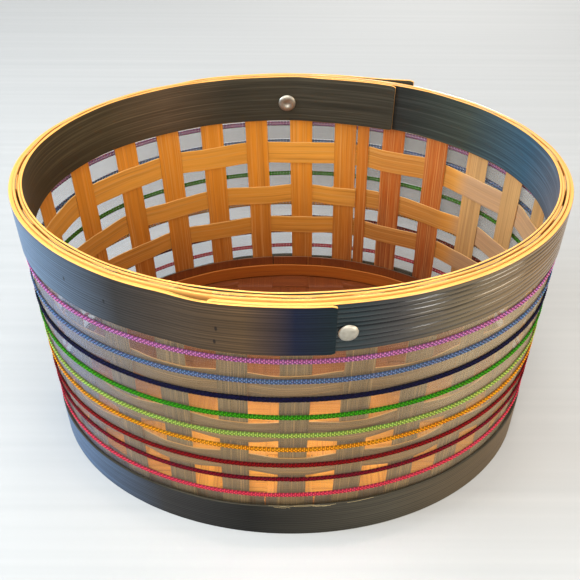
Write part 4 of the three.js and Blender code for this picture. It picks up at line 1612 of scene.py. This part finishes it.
@dataclass
class Rivets:
    """The two rivets that clamp the rim: a smooth head outside and a clenched end inside.

    The clench and the head are given as shares of their radius and rise, from the axis and to it.
    """

    wall: Wall
    seats: tuple[tuple[str, float], ...] = (("front_rivet", 4.3 * MM), ("back_rivet", 5.75 * MM))
    inner_seat: float = -3.1 * MM
    height: float = 144.5 * MM
    head_radius: float = 4.4 * MM
    head_rise: float = 1.6 * MM
    clench_radius: float = 5.2 * MM
    clench_rise: float = 1.2 * MM
    shank_radius: float = 1.3 * MM
    segments: int = 48
    clench: tuple[Span, ...] = (
        (0.0, 0.45), (0.16, 0.4), (0.3, 0.62), (0.42, 0.92), (0.55, 1.0),
        (0.78, 0.95), (0.93, 0.7), (1.0, 0.35), (0.99, 0.0),
    )
    head: tuple[Span, ...] = (
        (0.97, 0.0), (1.0, 0.18), (0.97, 0.36), (0.9, 0.5),
        (0.76, 0.72), (0.5, 0.9), (0.25, 0.98), (0.0, 1.0),
    )

    def build(self, material: bpy.types.Material) -> None:
        """Builds both rivets.

        Args:
            material: their metal.
        """
        for node, seat in self.seats:
            settle(self._rivet(node, seat, material), "rivet", node)

    def _profile(self, seat: float) -> np.ndarray:
        """Radius and height along the rivet's axis, from the clenched end to the head's crown."""
        inner = self.inner_seat
        points = [(r * self.clench_radius, inner - h * self.clench_rise) for r, h in self.clench]
        points += [(self.shank_radius, inner), (self.shank_radius, seat)]
        points += [(r * self.head_radius, seat + h * self.head_rise) for r, h in self.head]
        return np.array(points)

    def _axes(self, turn: float, centre: np.ndarray) -> tuple[np.ndarray, np.ndarray, np.ndarray]:
        """The rivet's axis, square to the wall, and two directions across it."""
        axis = self.wall.point(turn, 1.0, self.height) - centre
        axis[2] = -self.wall.slope
        axis /= np.linalg.norm(axis)
        side = np.cross((0.0, 0.0, 1.0), axis)
        side /= np.linalg.norm(side)
        return axis, side, np.cross(axis, side)

    def _rivet(self, node: str, seat: float, material: bpy.types.Material) -> bpy.types.Object:
        """Spins the profile about the rivet's axis."""
        profile = self._profile(seat)
        turn = self.wall.turn_of(node)
        centre = self.wall.point(turn, 0.0, self.height)
        axis, side, up = self._axes(turn, centre)
        spin = np.linspace(0, FULL_TURN, self.segments, endpoint=False)
        rings = profile[1:-1]
        around = np.cos(spin)[:, None] * side + np.sin(spin)[:, None] * up
        body = centre + rings[:, 1, None, None] * axis + rings[:, 0, None, None] * around
        poles = centre + profile[[0, -1], 1, None] * axis
        points = np.concatenate([body.reshape(-1, 3), poles])
        index = np.arange(len(rings) * self.segments).reshape(len(rings), self.segments)
        after = np.roll(index, -1, 1)
        faces = np.stack([index[:-1], after[:-1], after[1:], index[1:]], -1).reshape(-1, 4).tolist()
        first, last = index.size, index.size + 1
        faces += [[first, b, a] for a, b in zip(index[0], after[0])]
        faces += [[last, a, b] for a, b in zip(index[-1], after[-1])]
        count = len(points)
        return make_piece(node + "_turned", points, faces, np.zeros((count, 2)), np.ones(count), material)


@dataclass(frozen=True)
class Lamp:
    """A square soft light that faces the basket, or a place nearer the front by a shift."""

    name: str
    place: Place
    side: float
    power: float
    colour: Place
    spread: float = 180.0
    shift: float = 0.0


@dataclass
class Studio:
    """The pale floor, the soft lights and the camera."""

    camera_place: Place = (0.0, -0.3521, 0.3686)
    target: Place = (0.0, 0.0, 0.08288)
    lens: float = 49.71
    sensor: float = 36.0
    shift: Span = (-0.0009, -0.0095)
    roll: float = 0.3
    floor_side: float = 40.0
    surround: Colour = (0.95, 0.97, 1.0, 1.0)
    surround_strength: float = 0.58
    lamps: tuple[Lamp, ...] = (
        Lamp("overhead", (0.1, -0.3, 1.7), 0.9, 18.0, (1.0, 0.96, 0.9)),
        Lamp("front", (-0.25, -1.2, 0.9), 0.8, 14.0, (1.0, 0.95, 0.88)),
        Lamp("sky", (-1.0, -0.1, 0.85), 0.6, 11.0, (0.76, 0.88, 1.0)),
        Lamp("cool_side", (-1.15, -0.28, 0.38), 0.6, 5.2, (0.6, 0.8, 1.0), spread=110.0),
        Lamp("back", (0.3, 1.3, 0.32), 0.5, 2.7, (1.0, 0.96, 0.92), spread=110.0),
        Lamp("inside", (0.0, -0.05, 1.2), 0.08, 0.052, (1.0, 0.88, 0.72), spread=11.0, shift=0.045),
        Lamp("warm_side", (1.15, -0.4, 0.3), 0.4, 3.0, (1.0, 0.84, 0.62), spread=110.0),
        Lamp("window", (0.86, -0.96, 0.24), 0.16, 1.4, (1.0, 0.97, 0.92), spread=110.0),
    )

    def build(self) -> None:
        """Builds the floor, the lights and the camera."""
        self._floor()
        self._camera()
        self._world()
        for lamp in self.lamps:
            self._light(lamp)

    def _floor(self) -> None:
        """A wide pale floor just under the foot."""
        half = self.floor_side / 2
        mesh = bpy.data.meshes.new("floor")
        corners = [(-half, -half, 0), (half, -half, 0), (half, half, 0), (-half, half, 0)]
        mesh.from_pydata(corners, [], [(0, 1, 2, 3)])
        floor = bpy.data.objects.new("floor", mesh)
        mesh.materials.append(FloorFinish().material())
        bpy.context.scene.collection.objects.link(floor)

    def _camera(self) -> None:
        """A camera at the photograph's viewing angle."""
        data = bpy.data.cameras.new("camera")
        data.lens = self.lens
        data.sensor_width = self.sensor
        data.shift_x, data.shift_y = self.shift
        camera = self._aimed("camera", data, self.camera_place, Vector(self.target))
        camera.rotation_quaternion @= Euler((0, 0, math.radians(self.roll))).to_quaternion()
        bpy.context.scene.camera = camera

    def _world(self) -> None:
        """An even, pale surround."""
        world = bpy.data.worlds.new("surround")
        world.use_nodes = True
        background = world.node_tree.nodes["Background"]
        background.inputs["Color"].default_value = self.surround
        background.inputs["Strength"].default_value = self.surround_strength
        bpy.context.scene.world = world
        bpy.context.scene.view_settings.view_transform = "Standard"

    def _light(self, lamp: Lamp) -> None:
        """Adds a lamp."""
        data = bpy.data.lights.new(lamp.name, "AREA")
        data.size = lamp.side
        data.spread = math.radians(lamp.spread)
        data.energy = lamp.power
        data.color = lamp.colour
        self._aimed(lamp.name, data, lamp.place, Vector(self.target) - Vector((0.0, lamp.shift, 0.0)))

    @staticmethod
    def _aimed(name: str, data: bpy.types.ID, place: Place, target: Vector) -> bpy.types.Object:
        """Adds a lamp or a camera that faces a target."""
        made = bpy.data.objects.new(name, data)
        made.location = place
        made.rotation_mode = "QUATERNION"
        made.rotation_quaternion = (target - Vector(place)).to_track_quat("-Z", "Y")
        bpy.context.scene.collection.objects.link(made)
        return made


def band_materials(wall: Wall) -> Materials:
    """Finishes of the stained bands, whose stops are partly stain and partly painted light.

    Args:
        wall: the wall that the bands follow.

    Returns:
        The materials by slot.
    """
    soot, olive, tan = screen(16, 15, 11), screen(60, 56, 46), screen(90, 70, 42)
    grey, brown, umber = screen(38, 36, 35), screen(74, 57, 38), screen(70, 61, 44)
    steel, slate, lead = screen(82, 110, 140), screen(78, 98, 120), screen(66, 84, 108)
    navy, ink, teal = screen(14, 20, 40), screen(14, 26, 30), screen(54, 82, 98)
    moss, dun, pewter = screen(62, 68, 60), screen(88, 73, 56), screen(100, 104, 112)
    # The steel and slate stops on the left band's left side are painted cool light over the stain
    left = (
        (0, olive), (0.3, grey), (0.56, steel), (0.68, slate), (0.8, grey), (0.92, brown), (0.965, navy),
        (1, ink),
    )
    # The tan stops on the right band's right side are painted warm light over the stain
    right = ((0, ink), (0.13, ink), (0.17, grey), (0.23, umber), (0.34, tan), (0.55, tan), (1, olive))
    # The pewter and teal stops on the inner band's right side, which faces left, are painted cool light over
    # the stain
    inner = (
        (0, olive), (0.13, olive), (0.18, dun), (0.23, umber), (0.55, olive), (0.76, pewter), (0.83, teal),
        (0.89, moss), (0.96, grey), (1, olive),
    )
    # The slate and lead stops on the foot band's left side are painted cool light, and its tan on the right
    # side is painted warm light, over the stain
    foot = (
        (0, olive), (0.24, slate), (0.33, lead), (0.4, grey), (0.46, soot), (0.55, olive), (0.7, tan),
        (1, olive),
    )
    made = {}
    for slot, ends, stops, roughness, looks in (
        ("left_band_stain", LEFT_ENDS, left, 0.32, {"knots": LEFT_BAND_KNOTS}),
        ("right_band_stain", RIGHT_ENDS, right, 0.1, {"gloss": 0.4, "marking": 0.55}),
        ("inner_band_stain", INNER_ENDS, inner, 0.36, {}),
        ("foot_band_stain", FOOT_ENDS, foot, 0.38, {"edge": olive, "edge_dark": soot}),
    ):
        first, last = (float(wall.distance(math.radians(end))) for end in ends)
        made[slot] = BandFinish(slot, stops, first, last - first, roughness, **looks).material()
    return made


def splint_materials() -> Materials:
    """Finishes of the natural splints, by slot."""
    amber, ash, honey = screen(230, 144, 26), screen(116, 98, 70), screen(234, 160, 52)
    straw, chestnut, walnut = screen(226, 158, 76), screen(206, 116, 22), screen(118, 54, 10)
    finishes = (
        # The stakes' and weavers' inner faces carry painted light and painted shadow round the right side and
        # painted shade low down
        SplintFinish(
            "stake_splint", amber, ash, low_shade_tone=(0.5, 0.36, 0.2, 1.0),
            painted_light=screen(192, 148, 92), painted_shadow=screen(178, 86, 6),
        ),
        SplintFinish(
            "weaver_splint", honey, screen(130, 105, 72),
            painted_light=screen(192, 152, 112), painted_shadow=screen(196, 126, 42),
        ),
        SplintFinish("rim_core_splint", straw, straw, edge=screen(240, 174, 90)),
        SplintFinish("foot_hoop_splint", chestnut, chestnut, edge=screen(184, 110, 36)),
        # The floor splints' dark colour at the back is partly painted shade, and their paler colour towards
        # the front is painted light
        FrontLitFinish("floor_splint", walnut, screen(120, 108, 88), edge=screen(140, 76, 26)),
    )
    return {finish.name: finish.material() for finish in finishes}


def main() -> None:
    """Builds the basket and its setting."""
    logging.basicConfig(level=logging.INFO, format="%(name)s: %(message)s")
    wall = Wall.from_frame(band_face=4.039 * MM, flare=2 * MM)
    trees = WallTrees(wall)
    splints = splint_materials()
    bands = band_materials(wall)
    stakes = StakeRow(wall, trees)
    stakes.build(splints["stake_splint"])
    Weavers(wall, stakes).build(splints)
    RimBands(wall).build(bands)
    FootRing(wall).build(bands | splints, trees)
    WovenFloor(wall).build(splints["floor_splint"])
    thread = YarnFinish("net_thread", screen(164, 138, 102), shade=0.8).material()
    NetWrap(wall, trees).build(thread)
    Rivets(wall).build(RivetFinish().material())
    Studio().build()


if __name__ == "__main__":
    main()
